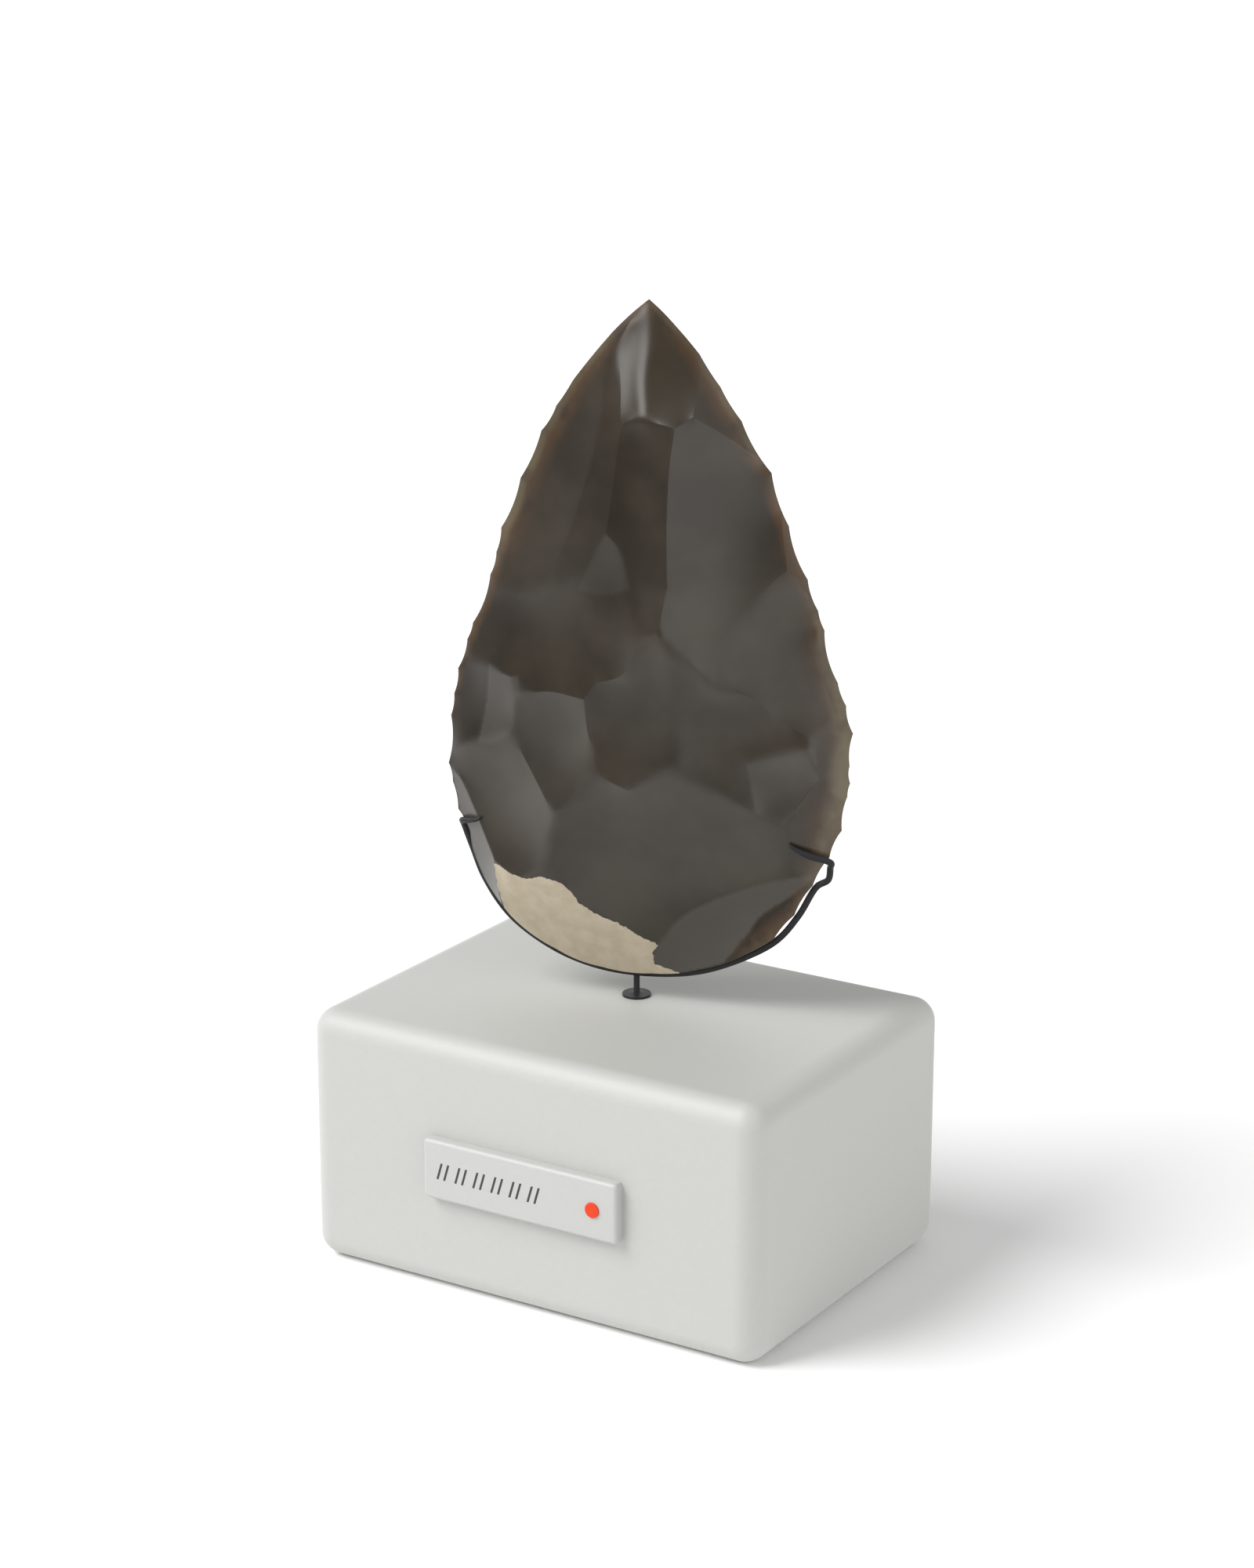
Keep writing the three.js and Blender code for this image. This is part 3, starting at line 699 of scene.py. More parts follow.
    ridges: tuple[Ridge, ...] = (
        Ridge(("edge", (0.8, 167.6), "shoulder")),
        Ridge(("edge", (-5.8, 159.7), "shoulder")),
        Ridge(("shoulder", (-2.7, 150), "tip_foot")),
        Ridge(("edge", (2.9, 169.3), (3.7, 160.5), (2.6, 151.8), "heel"), (1, 0.4)),
        Ridge(("tip_foot", (0.3, 142.3), "heel")),
        Ridge(("heel", "crest")),
        Ridge(("crest", "fork")),
        Ridge(("fork", (16, 155.4))),
        Ridge(((16, 155.4), (17.6, 155.3), "edge")),
        Ridge(("fork", (23, 139.3), "right_shoulder")),
        Ridge(("right_shoulder", (32, 132), "edge")),
        Ridge(("right_shoulder", (34.5, 127.5), (35.6, 119), "hip")),
        Ridge(("hip", (43.6, 100.3), (44.9, 88.6), (46.6, 82.7), "flank_out")),
        Ridge(("hip", (33.7, 105.7), (27.6, 96.1), (23.5, 89), "keel"), (0, 1)),
        Ridge(("crest", (10.6, 132.2), (10.4, 120.2), (10.9, 109.5), "waist")),
        Ridge(("waist", (10.4, 99.5), "column_right")),
        Ridge(("column_right", "middle_top")),
        Ridge(("middle_top", (15.5, 88.9), "keel")),
        Ridge(("keel", (32.2, 78.7), (36.6, 75), "flank")),
        Ridge(("flank", "flank_out")),
        Ridge(("column_left", "column_right")),
        Ridge(("kite_right", "column_left"), (1, 1)),
        Ridge(("kite_top", (-1.3, 112.3), "kite_right"), (0, 0.6)),
        Ridge(("kite_top", (-7.7, 110.4), "kite_left"), (0, 0.8)),
        Ridge(("kite_left", (-5, 101), "kite_right"), (1, 1)),
        Ridge(("tip_foot", (-2.7, 133.3), (-3.7, 123.6), "kite_top")),
        Ridge(("long_top", (-9.3, 131.9), (-11.8, 123.2), (-15.5, 112.5), "long_foot"), (0.3, 0)),
        Ridge(("long_top", (-6.9, 152), (-5.8, 159.7), "edge"), (0.3, 1)),
        Ridge(("long_foot", "kite_left"), (1, 1)),
        Ridge(("long_foot", (-34.8, 99.4), "edge"), (0.6, 0.8)),
        Ridge(("left_high", "left_step")),
        Ridge(("left_high", (-41, 89), "edge"), (0.7, 1)),
        Ridge(("left_step", (-43.5, 80.5), "edge"), (0.4, 0.8)),
        Ridge(("left_step", (-33, 79), "notch_left")),
        Ridge(("notch_left", "notch_right")),
        Ridge(("notch_right", "notch_foot")),
        Ridge(("notch_left", "notch_side")),
        Ridge(("notch_side", "notch_foot"), (0.5, 0.5)),
        Ridge(("notch_foot", (-18.7, 76.6), "saddle")),
        Ridge(("saddle", (-6.7, 79.9), (0.2, 83), (4, 89.2), "column_left")),
        Ridge(("notch_side", (-28.9, 68), "left_fork")),
        Ridge(("left_fork", (-24.3, 56.1), "shield_foot")),
        Ridge(("left_fork", (-35, 61), "hollow_foot"), (0.8, 1)),
        Ridge(("left_step", (-37.2, 72), "hollow_foot"), (0.6, 1)),
        Ridge(("hollow_foot", (-47, 57.5), "edge"), (0.8, 0.4)),
        Ridge(("saddle", (-8.9, 69), "middle_left")),
        Ridge(("middle_left", (-10.9, 53.5), "shield_foot"), (1, 0)),
        Ridge(("middle_left", (-5, 57.5), "middle_foot")),
        Ridge(("middle_foot", (8.8, 59.5), "middle_right"), (0, 0.8)),
        Ridge(("middle_top", (13, 76), "middle_right"), (1, 1)),
        Ridge(("middle_right", (17, 58), (23.6, 55.1), "square_low"), (1, 0)),
        Ridge(("square_left", "square_low")),
        Ridge(("square_low", "square_foot")),
        Ridge(("square_foot", (42.5, 55), "square_right")),
        Ridge(("square_right", "square_top")),
        Ridge(("square_left", (38, 66), "square_top"), (0.6, 0.8)),
        Ridge(("square_top", "flank")),
        Ridge(("square_right", "flank_low")),
        Ridge(("flank_out", (50.2, 69), "flank_low")),
        Ridge(("flank_low", (48.5, 58.2), (47.2, 51.3), (46.7, 43.7), "band_foot")),
        Ridge(("band_foot", (45.6, 35.6), "edge")),
        Ridge(("square_foot", (39, 42), "low_crest"), (1, 1)),
        Ridge(("cortex_right", (12, 22), (19.4, 26.9), (31.3, 32.4), "low_crest"), (1, 0.4)),
        Ridge(("low_crest", "band_foot"), (0.4, 0.4)),
        Ridge(("band_foot", (38.5, 29.5), (31.5, 24), "wedge"), (0.3, 0.1)),
        Ridge(("wedge", (21.8, 11.4), "edge")),
        Ridge(("edge", (-47.5, 52.5), (-44.9, 50.6), (-41, 43.9), (-38.4, 38.5), "strip_foot")),
        Ridge(("strip_foot", (-34.6, 25), (-34.2, 18), (-31.5, 14.5), "edge")),
        Ridge(("shield_foot", (-18.5, 41), "cortex_left"), (0.6, 1)),
        Ridge(("strip_foot", (-30.1, 29.8), (-25, 29.6), "cortex_left")),
        Ridge(("cortex_left", (-15.9, 29.1), (-12.2, 24.4), (-3.1, 19.8), (1.2, 17), "cortex_right")),
        Ridge(("cortex_right", (4.6, 11.8), (5, 9), (8, 7), "edge")),
    )
    blushes: tuple[Blush, ...] = (
        Blush(3, 168, 6, 1.2, 0.4, 0.5),
        Blush(-10, 155, 9, 1.4, 0.45, 0.8),
        Blush(-20, 142, 9, 2.0, 0.4, 0.9),
        Blush(-28, 129, 8, 2.2, 0.55, 0.7),
        Blush(-33, 115, 8, 2.4, 0.65, 0.8),
        Blush(-36, 104, 6, 1.0, 0.3, 0.7),
        Blush(-41, 91, 9, 0.9, 0.25, 0.8),
        Blush(-45, 77, 9, 0.9, 0.15, 0.5),
        Blush(12, 159, 8, 1.3, 0.5, 0.7),
        Blush(22, 147, 8, 1.4, 0.5, 0.9),
        Blush(30, 135, 8, 1.2, 0.4, 1.0),
        Blush(36, 122, 8, 1.0, 0.15, 1.0),
        Blush(41, 109, 8, 1.0, 0.2, 0.9),
        Blush(46, 96, 6, 1.6, 0.5, 0.6),
        Blush(49, 85, 8, 2.8, 0.45, 0.5),
        Blush(52, 72, 9, 3.6, 0.7, 0.3),
        Blush(52, 58, 9, 4.2, 0.75, 0.3),
        Blush(50, 47, 7, 4.2, 0.7, 0.6),
        Blush(47, 38, 5, 2.6, 0.5, 0.9),
        Blush(41, 27, 6, 1.2, 0.2, 0.9),
        Blush(33, 17, 7, 1.8, 0.2, 1.0),
    )
    wear_reach: float = 3.5  # how far a worn ridge spreads
    wear_passes: int = 60
    form_pull: float = 0.003
    margin_pull: float = 0.3
    settle_passes: int = 2500
    dome_height: float = 17.0
    dome_fullness: float = 0.85
    back_radii: tuple[float, float] = (160.0, 75.0)
    # Seats of the back's scars on a low dome: x, z and how deep each is sunk.
    back_seats: tuple[tuple[float, float, float], ...] = (
        (6, 150, 0.6), (-12, 134, 0.8), (17, 126, 0.9), (-22, 104, 1), (33, 99, 0.8), (4, 104, 0.9),
        (-33, 76, 0.7), (-8, 74, 1), (20, 76, 0.8), (42, 66, 0.8), (-26, 44, 0.9), (4, 42, 0.9),
        (33, 36, 0.8), (-8, 18, 0.6), (20, 16, 0.6),
    )
    # The border of the cortex, which runs out over the edge at the base.
    cortex_border: tuple[tuple[float, float], ...] = (
        (-34.9, 31.5), (-30.5, 29.6), (-25.5, 29.0), (-21.3, 30.4), (-15.9, 29.1), (-12.2, 24.4),
        (-8.6, 21.8), (-3.1, 19.8), (1.2, 17), (6.2, 14.5), (4.6, 11.8), (5, 9), (12, 6.8),
        (10, -2), (-28, -2), (-31, 11), (-34.2, 18), (-34.6, 25),
    )
    cortex_back_inset: float = 7.0

    def stretches(self) -> list[Stretch]:
        """The edge's stretches, each with its own steepness of retouch."""
        made = []
        for index, (x, z, bend) in enumerate(self.edge):
            next_x, next_z, _ = self.edge[(index + 1) % len(self.edge)]
            length = math.hypot(next_x - x, next_z - z)
            side = self.retouch["left" if x < self.centre[0] else "right"]
            steepest = self.retouch["base"] if z < self.retouch["base_top"] else side
            angle = steepest + self.retouch["varies"] * math.sin(self.retouch_rhythm * index)
            direction = ((next_x - x) / length, (next_z - z) / length)
            made.append(Stretch((x, z), direction, length, bend * length, math.tan(math.radians(angle))))
        return made

    def back(self, points: np.ndarray) -> list[Scar]:
        """The back's scars, each lying flat on the low dome at its seat.

        Args:
            points: the edge's outline.

        Returns:
            The scars.
        """
        made, step = [], 1.0
        for x, z, depth in self.back_seats:
            slope_x = (self.dome(points, x + step, z) - self.dome(points, x - step, z)) / (2 * step)
            slope_z = (self.dome(points, x, z + step) - self.dome(points, x, z - step)) / (2 * step)
            slope = (math.degrees(math.atan(slope_x)), math.degrees(math.atan(slope_z)))
            heading = math.degrees(math.atan2(z - self.centre[1], x - self.centre[0]))
            made.append(Scar(x, z, self.dome(points, x, z) - depth, slope, heading, *self.back_radii))
        return made

    def dome(self, points: np.ndarray, x: float, z: float) -> float:
        """Height of the back's low dome, which falls to nothing at the edge."""
        towards = np.array([x, z]) - self.centre
        far = math.hypot(*towards)
        a = points - self.centre
        b = np.roll(a, -1, axis=0)
        before = a[:, 0] * towards[1] - a[:, 1] * towards[0]
        after = b[:, 0] * towards[1] - b[:, 1] * towards[0]
        hit = (before * after <= 0) & (before != after) & (a @ towards > 0)
        share = before[hit][0] / (before[hit][0] - after[hit][0])
        reach = math.hypot(*(a[hit][0] + (b[hit][0] - a[hit][0]) * share))
        return self.dome_height * max(0.0, 1 - (far / reach) ** 2) ** self.dome_fullness

    def grid(self, outline: np.ndarray, courses: list[np.ndarray], spacing: float) -> tuple:
        """A mesh of the edge plane whose sides follow the outline and the ridges.

        Args:
            outline: the cutting edge, whose points come first among the vertices.
            courses: the ridges, as rows of points.
            spacing: distance between the vertices that fill the scars.

        Returns:
            The vertices, the triangles, and the sides that lie on a ridge.
        """
        low, high = outline.min(0), outline.max(0)
        rows = np.arange(low[1], high[1], spacing * math.sqrt(3) / 2)
        columns = np.arange(low[0], high[0], spacing)
        fill = np.array([(x + row % 2 * spacing / 2, z) for row, z in enumerate(rows) for x in columns])
        fill = fill[self.inside(outline, fill)]
        lines = np.vstack([outline, *courses])
        tree = tree_of(lines)
        fill = fill[[tree.find((x, z, 0))[2] > self.line_clearance * spacing for x, z in fill]]
        count = len(outline)
        sides = [(i, (i + 1) % count) for i in range(count)]
        owner, start = [-1] * count, count
        for number, course in enumerate(courses):
            sides += [(start + i, start + i + 1) for i in range(len(course) - 1)]
            owner += [number] * (len(course) - 1)
            start += len(course)
        points = np.vstack([lines, fill])
        made = delaunay_2d_cdt([Vector(p) for p in points], sides, [], 0, self.merge_distance)
        flat = np.array([tuple(v) for v in made[0]])
        triangles = np.array(made[2])
        triangles = triangles[self.inside(outline, flat[triangles].mean(1))]
        traced = [(side, owner[source[0]]) for side, source in zip(made[1], made[4]) if source]
        first = np.full(len(flat), len(points))
        for number, sources in enumerate(made[3]):
            if sources:
                first[number] = min(sources)
        order = np.argsort(first, kind="stable")
        rank = np.empty_like(order)
        rank[order] = np.arange(len(order))
        on_ridge = {tuple(sorted((int(rank[a]), int(rank[b])))) for (a, b), number in traced if number >= 0}
        triangles = rank[triangles]
        flipped = self.turn(flat[order][triangles]) < 0
        triangles[flipped] = triangles[flipped][:, ::-1]
        return flat[order], triangles, on_ridge

    @staticmethod
    def inside(outline: np.ndarray, points: np.ndarray) -> np.ndarray:
        """Which points lie inside a closed outline."""
        within = np.zeros(len(points), bool)
        for a, b in zip(outline, np.roll(outline, -1, axis=0)):
            crosses = (a[1] > points[:, 1]) != (b[1] > points[:, 1])
            at = a[0] + (points[:, 1] - a[1]) * (b[0] - a[0]) / ((b[1] - a[1]) or 1e-9)
            within ^= crosses & (points[:, 0] < at)
        return within

    def courses(self, outline: np.ndarray) -> list[np.ndarray]:
        """The ridges as rows of evenly spaced points."""
        made = []
        for ridge in self.ridges:
            to_edge = {"first": ridge.course[0] == "edge", "last": ridge.course[-1] == "edge"}
            named = [p for p in ridge.course if p != "edge"]
            points = np.array([self.junctions[p] if isinstance(p, str) else p for p in named], float)
            for end, index in (("first", 0), ("last", -1)):
                if to_edge[end]:
                    points[index] = outline[np.linalg.norm(outline - points[index], axis=1).argmin()]
            length = np.linalg.norm(np.diff(points, axis=0), axis=1).sum()
            samples = max(2, round(length / self.course_spacing))
            made.append(smooth_curve(np.column_stack([points, np.zeros(len(points))]), samples)[:, :2])
        return made

    @staticmethod
    def regions(triangles: np.ndarray, on_ridge: set) -> np.ndarray:
        """Numbers the areas that the ridges close off, one number for each triangle."""
        sides, a, b = shared_sides(triangles)
        width = triangles.max() + 1
        ridge = np.array([first * width + second for first, second in on_ridge], np.int64)
        joined = ~np.isin(sides[:, 0] * width + sides[:, 1], ridge)
        a, b = a[joined], b[joined]
        label = np.arange(len(triangles))
        while True:
            least = np.minimum(label[a], label[b])
            new = label.copy()
            np.minimum.at(new, a, least)
            np.minimum.at(new, b, least)
            new = new[new]
            if (new == label).all():
                return label
            label = new

    def worked_face(self, outline: np.ndarray, stretches: list[Stretch]) -> dict:
        """The front: each scar fills its own area, keeps its own slope and meets its neighbours.

        Args:
            outline: the cutting edge.
            stretches: its stretches, which carry the retouch.

        Returns:
            The face's vertices, triangles, heights, painted light and crisp sides.
        """
        courses = self.courses(outline)
        flat, triangles, on_ridge = self.grid(outline, courses, self.front_spacing)
        area = self.regions(triangles, on_ridge)
        middle = flat[triangles].mean(1)
        edge = len(outline)
        step = 0.05
        wanted = self.retouch_height(stretches, middle)
        moved = [self.retouch_height(stretches, middle + shift) for shift in ((step, 0), (0, step))]
        rise = np.stack([height - wanted for height in moved], 1) / step
        pull = np.full(len(triangles), self.margin_pull)
        # each triangle's painted light: a painted reflection above 0, a painted shade below 0
        shade = np.zeros(len(triangles))
        for scar in self.front:
            away = np.hypot(middle[:, 0] - scar.x, middle[:, 1] - scar.z)
            own = area == area[away.argmin()]
            rise[own] = scar.rise(middle[own])
            wanted[own] = scar.at(middle[own, 0], middle[own, 1])
            pull[own] = self.form_pull
            shade[own] = scar.tone
        wear = self.wear_of(flat, courses)
        rise = self.evened(triangles, rise, wear)
        height = np.maximum(self.settled(flat, triangles, rise, wanted, pull, edge), self.least_height)
        height[:edge] = 0
        tone = np.zeros(len(flat))
        share = np.zeros(len(flat))
        for column in range(3):
            np.add.at(tone, triangles[:, column], shade)
            np.add.at(share, triangles[:, column], 1)
        crisp = np.array([side for side in sorted(on_ridge) if wear[list(side)].max() < self.crisp_below])
        tone /= np.maximum(share, 1)
        return {"flat": flat, "triangles": triangles, "height": height, "tone": tone, "crisp": crisp}

    def evened(self, triangles: np.ndarray, rise: np.ndarray, wear: np.ndarray) -> np.ndarray:
        """Lets the slopes of neighbouring scars run into each other where a ridge is worn."""
        _, one, other = shared_sides(triangles)
        a, b = np.concatenate([one, other]), np.concatenate([other, one])
        count = np.bincount(a, minlength=len(triangles))
        strength = self.wear_strength * np.clip(wear[triangles].mean(1), 0, 1) ** self.wear_sharpness
        for _ in range(self.wear_passes):
            for axis in range(2):
                mean = np.bincount(a, weights=rise[b, axis], minlength=len(triangles)) / count
                rise[:, axis] += strength * (mean - rise[:, axis])
        return rise

    def settled(
        self,
        flat: np.ndarray,
        triangles: np.ndarray,
        rise: np.ndarray,
        wanted: np.ndarray,
        pull: np.ndarray,
        edge: int,
    ) -> np.ndarray:
        """The one surface whose slopes come nearest to those of all scars.

        Args:
            flat: the vertices in the edge plane.
            triangles: the triangles between them.
            rise: each triangle's wanted slope, across and up.
            wanted: each triangle's wanted height.
            pull: how much that height counts beside the slope.
            edge: how many vertices, those on the edge, stay at no height.

        Returns:
            The height of each vertex.
        """
        corner = flat[triangles]
        twice = self.turn(corner)
        slopes = []
        for column in range(3):
            across = corner[:, (column + 2) % 3] - corner[:, (column + 1) % 3]
            slopes.append(np.stack([-across[:, 1], across[:, 0]], 1) / twice[:, None])
        rows, columns, values = [], [], []
        count = len(flat)
        load = np.zeros(count)
        pull = pull * twice / 6
        for i in range(3):
            weight = (slopes[i] * rise).sum(1) * twice / 2 + pull * wanted
            load += np.bincount(triangles[:, i], weights=weight, minlength=count)
            for j in range(3):
                rows.append(triangles[:, i])
                columns.append(triangles[:, j])
                values.append((slopes[i] * slopes[j]).sum(1) * twice / 2 + (pull if i == j else 0))
        row, column, value = (np.concatenate(part) for part in (rows, columns, values))
        free = (row >= edge) & (column >= edge)
        row, column, value = row[free], column[free], value[free]
        load[:edge] = 0
        strong = np.bincount(row[row == column], weights=value[row == column], minlength=count)
        strong[strong == 0] = 1
        height, left = np.zeros(count), load
        step = left / strong
        power = left @ step
        for _ in range(self.settle_passes):
            turned_by = np.bincount(row, weights=value * step[column], minlength=count)
            size = power / (step @ turned_by)
            height += size * step
            left -= size * turned_by
            next_power = left @ (left / strong)
            if next_power < self.settled_below:
                break
            step = left / strong + next_power / power * step
            power = next_power
        log.info("settled %d vertices", count)
        return height

    def retouch_height(self, stretches: list[Stretch], flat: np.ndarray) -> np.ndarray:
        """The lowest retouch trough at each point, a little rounded where two meet."""
        every = np.array([s.at(flat[:, 0], flat[:, 1]) for s in stretches])
        least = every.min(0)
        soft = np.clip(self.trough_share * least, *self.trough_limits)
        return least - soft * np.log(np.exp(-(every - least) / soft).sum(0))

    def wear_of(self, flat: np.ndarray, courses: list[np.ndarray]) -> np.ndarray:
        """How worn the surface is at each vertex, from the wear of the ridges near it."""
        wear = np.zeros(len(flat))
        for ridge, course in zip(self.ridges, courses):
            if max(ridge.wear) <= 0:
                continue
            amount = np.linspace(*ridge.wear, len(course))
            low, high = course.min(0) - 3 * self.wear_reach, course.max(0) + 3 * self.wear_reach
            near = np.flatnonzero(((flat > low) & (flat < high)).all(1))
            away = ((flat[near][:, None] - course[None]) ** 2).sum(2)
            wear[near] = np.maximum(wear[near], (amount * np.exp(-away / self.wear_reach**2)).max(1))
        return wear

    def plain_face(self, outline: np.ndarray, stretches: list[Stretch]) -> dict:
        """The back: its face is the lowest of all its scars at each point."""
        scars = [*self.back(outline), *stretches]
        flat, triangles, _ = self.grid(outline, [], self.back_spacing)
        flat = self.on_ridges(scars, flat, triangles, len(outline))
        every = np.array([scar.at(flat[:, 0], flat[:, 1]) for scar in scars])
        height = np.maximum(every.min(0), self.least_height)
        height[: len(outline)] = 0
        crisp, tone = self.crisp_pairs(scars, flat, triangles), np.zeros(len(flat))
        return {"flat": flat, "triangles": triangles, "height": height, "tone": tone, "crisp": crisp}

    def on_ridges(self, scars: list, flat: np.ndarray, triangles: np.ndarray, fixed: int) -> np.ndarray:
        """Moves the vertices nearest to each ridge onto it, so that ridges are crisp lines.

        Args:
            scars: the face's scars and retouch.
            flat: the vertices in the edge plane.
            triangles: the grid's triangles.
            fixed: how many vertices, those on the edge, stay where they are.

        Returns:
            The moved vertices.
        """
        x, z, step = flat[:, 0], flat[:, 1], 0.01
        every = np.array([scar.at(x, z) for scar in scars])
        label = every.argmin(0)
        pairs = sides_of(triangles)
        pairs = pairs[label[pairs[:, 0]] != label[pairs[:, 1]]]
        pairs = np.vstack([pairs, pairs[:, ::-1]])
        here, other = pairs[:, 0], label[pairs[:, 1]]
        gap = every[other, here] - every[label[here], here]
        order = np.argsort(-gap)
        partner = np.full(len(flat), -1)
        partner[here[order]] = other[order]
        moving = np.flatnonzero(partner >= 0)
        moving = moving[moving >= fixed]
        own, across = label[moving], partner[moving]
        east = np.array([scar.at(x[moving] + step, z[moving]) for scar in scars])
        north = np.array([scar.at(x[moving], z[moving] + step) for scar in scars])
        pick = np.arange(len(moving))
        gap = every[across, moving] - every[own, moving]
        slope_x = ((east[across, pick] - east[own, pick]) - gap) / step
        slope_z = ((north[across, pick] - north[own, pick]) - gap) / step
        steep = slope_x**2 + slope_z**2
        shift = np.zeros_like(flat)
        shift[moving, 0] = -gap * slope_x / steep
        shift[moving, 1] = -gap * slope_z / steep
        size = np.hypot(shift[:, 0], shift[:, 1])
        corner = flat[triangles]
        side = np.hypot(*(corner[:, 1] - corner[:, 0]).T)
        spacing = np.zeros(len(flat))
        for column in range(3):
            np.maximum.at(spacing, triangles[:, column], side)
        shift[size > self.farthest_shift * spacing] = 0
        before = self.turn(flat[triangles])
        for _ in range(self.shift_passes):
            squeezed = self.turn((flat + shift)[triangles]) / before < self.least_squeeze
            if not squeezed.any():
                break
            size = np.hypot(shift[:, 0], shift[:, 1])
            bad = triangles[squeezed]
            worst = bad[np.arange(len(bad)), size[bad].argmax(1)]
            shift[worst] = 0
        return flat + shift

    @staticmethod
    def turn(corners: np.ndarray) -> np.ndarray:
        """Twice the signed area of each triangle."""
        a, b = corners[:, 1] - corners[:, 0], corners[:, 2] - corners[:, 0]
        return a[:, 0] * b[:, 1] - a[:, 1] * b[:, 0]

    def thin_edge(self, flat: np.ndarray, outline: np.ndarray) -> tuple[np.ndarray, np.ndarray]:
        """How much painted light shines through the thin flint, and how warm it looks, at each point, both
        from 0 to 1.
        """
        tree = tree_of(outline)
        inward = np.array([tree.find((x, z, 0))[2] for x, z in flat])
        pale, warm = np.zeros(len(flat)), np.zeros(len(flat))
        for blush in self.blushes:
            near = np.exp(-((flat[:, 0] - blush.x) ** 2 + (flat[:, 1] - blush.z) ** 2) / blush.reach**2)
            outer, inner = (
                1 - np.clip((inward / blush.width - start) / length, 0, 1)
                for start, length in (self.pale_fade, self.warm_fade)
            )
            pale += blush.pale * near * outer * outer * (3 - 2 * outer)
            warm += blush.warm * near * inner * inner * (3 - 2 * inner)
        return np.clip(pale, 0, 1), np.clip(warm, 0, 1)

    def cortex_depth(self, flat: np.ndarray) -> np.ndarray:
        """How far inside the cortex's border each point lies; outside it the number is negative."""
        border = np.array(self.cortex_border, float)
        distance = np.full(len(flat), np.inf)
        for a, b in zip(border, np.roll(border, -1, axis=0)):
            along = b - a
            share = np.clip((flat - a) @ along / (along @ along), 0, 1)
            distance = np.minimum(distance, np.linalg.norm(flat - a - share[:, None] * along, axis=1))
        return np.where(self.inside(border, flat), distance, -distance)

    def build(self, place: Matrix) -> bpy.types.Object:
        """Builds the stone and keeps its colouring and its cortex on its vertices.

        Args:
            place: where the cradle holds the stone.

        Returns:
            The stone.
        """
        stretches = self.stretches()
        steps = [max(4, round(s.length / self.edge_spacing)) for s in stretches]
        outline = np.array([s.point(i / count) for s, count in zip(stretches, steps) for i in range(count)])
        edge = len(outline)
        positions, triangles, crisp = [np.stack([outline[:, 0], np.zeros(edge), outline[:, 1]], 1)], [], []
        pale, warm = self.thin_edge(outline, outline)
        cortex = self.cortex_depth(outline)
        kept = {"pale": [pale], "warm": [warm], "tone": [np.zeros(edge)], "cortex": [cortex]}
        front, back = self.worked_face(outline, stretches), self.plain_face(outline, stretches)
        for side, face in ((-1, front), (1, back)):
            flat, height, grid = face["flat"], face["height"], face["triangles"]
            start = sum(len(part) for part in positions) - edge
            numbered = np.where(grid < edge, grid, grid + start)
            triangles.append(numbered if side < 0 else numbered[:, ::-1])
            crisp.append(np.where(face["crisp"] < edge, face["crisp"], face["crisp"] + start))
            positions.append(np.stack([flat[edge:, 0], side * height[edge:], flat[edge:, 1]], 1))
            pale, warm = self.thin_edge(flat[edge:], outline)
            cortex = self.cortex_depth(flat[edge:]) - (self.cortex_back_inset if side > 0 else 0.0)
            for name, part in zip(kept, (pale, warm, face["tone"][edge:], cortex)):
                kept[name].append(part)
        stone = make_object(self.node, np.vstack(positions) + self.offset, np.vstack(triangles).tolist())
        for name, parts in kept.items():
            layer = stone.data.attributes.new(name, "FLOAT", "POINT")
            layer.data.foreach_set("value", np.concatenate(parts))
        self.mark_sharp(stone, np.vstack(crisp), edge)
        self.drop_loose(stone)
        stone.matrix_world = place
        return stone

    @staticmethod
    def drop_loose(stone: bpy.types.Object) -> None:
        """Removes the points that no triangle uses."""
        work = bmesh.new()
        work.from_mesh(stone.data)
        bmesh.ops.delete(work, geom=[v for v in work.verts if not v.link_faces], context="VERTS")
        work.to_mesh(stone.data)
        work.free()

    @staticmethod
    def crisp_pairs(scars: list, flat: np.ndarray, triangles: np.ndarray) -> np.ndarray:
        """The sides between triangles of different scars, as pairs of vertex numbers."""
        middle = flat[triangles].mean(1)
        label = np.array([scar.at(middle[:, 0], middle[:, 1]) for scar in scars]).argmin(0)
        sides, one, other = shared_sides(triangles)
        return sides[label[one] != label[other]]

    @staticmethod
    def mark_sharp(stone: bpy.types.Object, pairs: np.ndarray, edge: int) -> None:
        """Marks the crisp ridges and the cutting edge itself as sharp."""
        mesh = stone.data
        ends = np.zeros(len(mesh.edges) * 2, np.int32)
        mesh.edges.foreach_get("vertices", ends)
        ends = np.sort(ends.reshape(-1, 2), axis=1).astype(np.int64)
        pairs = np.sort(pairs, axis=1)
        wanted = pairs[:, 0] * len(mesh.vertices) + pairs[:, 1]
        sharp = np.isin(ends[:, 0] * len(mesh.vertices) + ends[:, 1], wanted)
        sharp |= (ends < edge).all(1)
        marks = mesh.attributes.new("sharp_edge", "BOOLEAN", "EDGE")
        marks.data.foreach_set("value", sharp)


# ---------------------------------------------------------------- the cradle


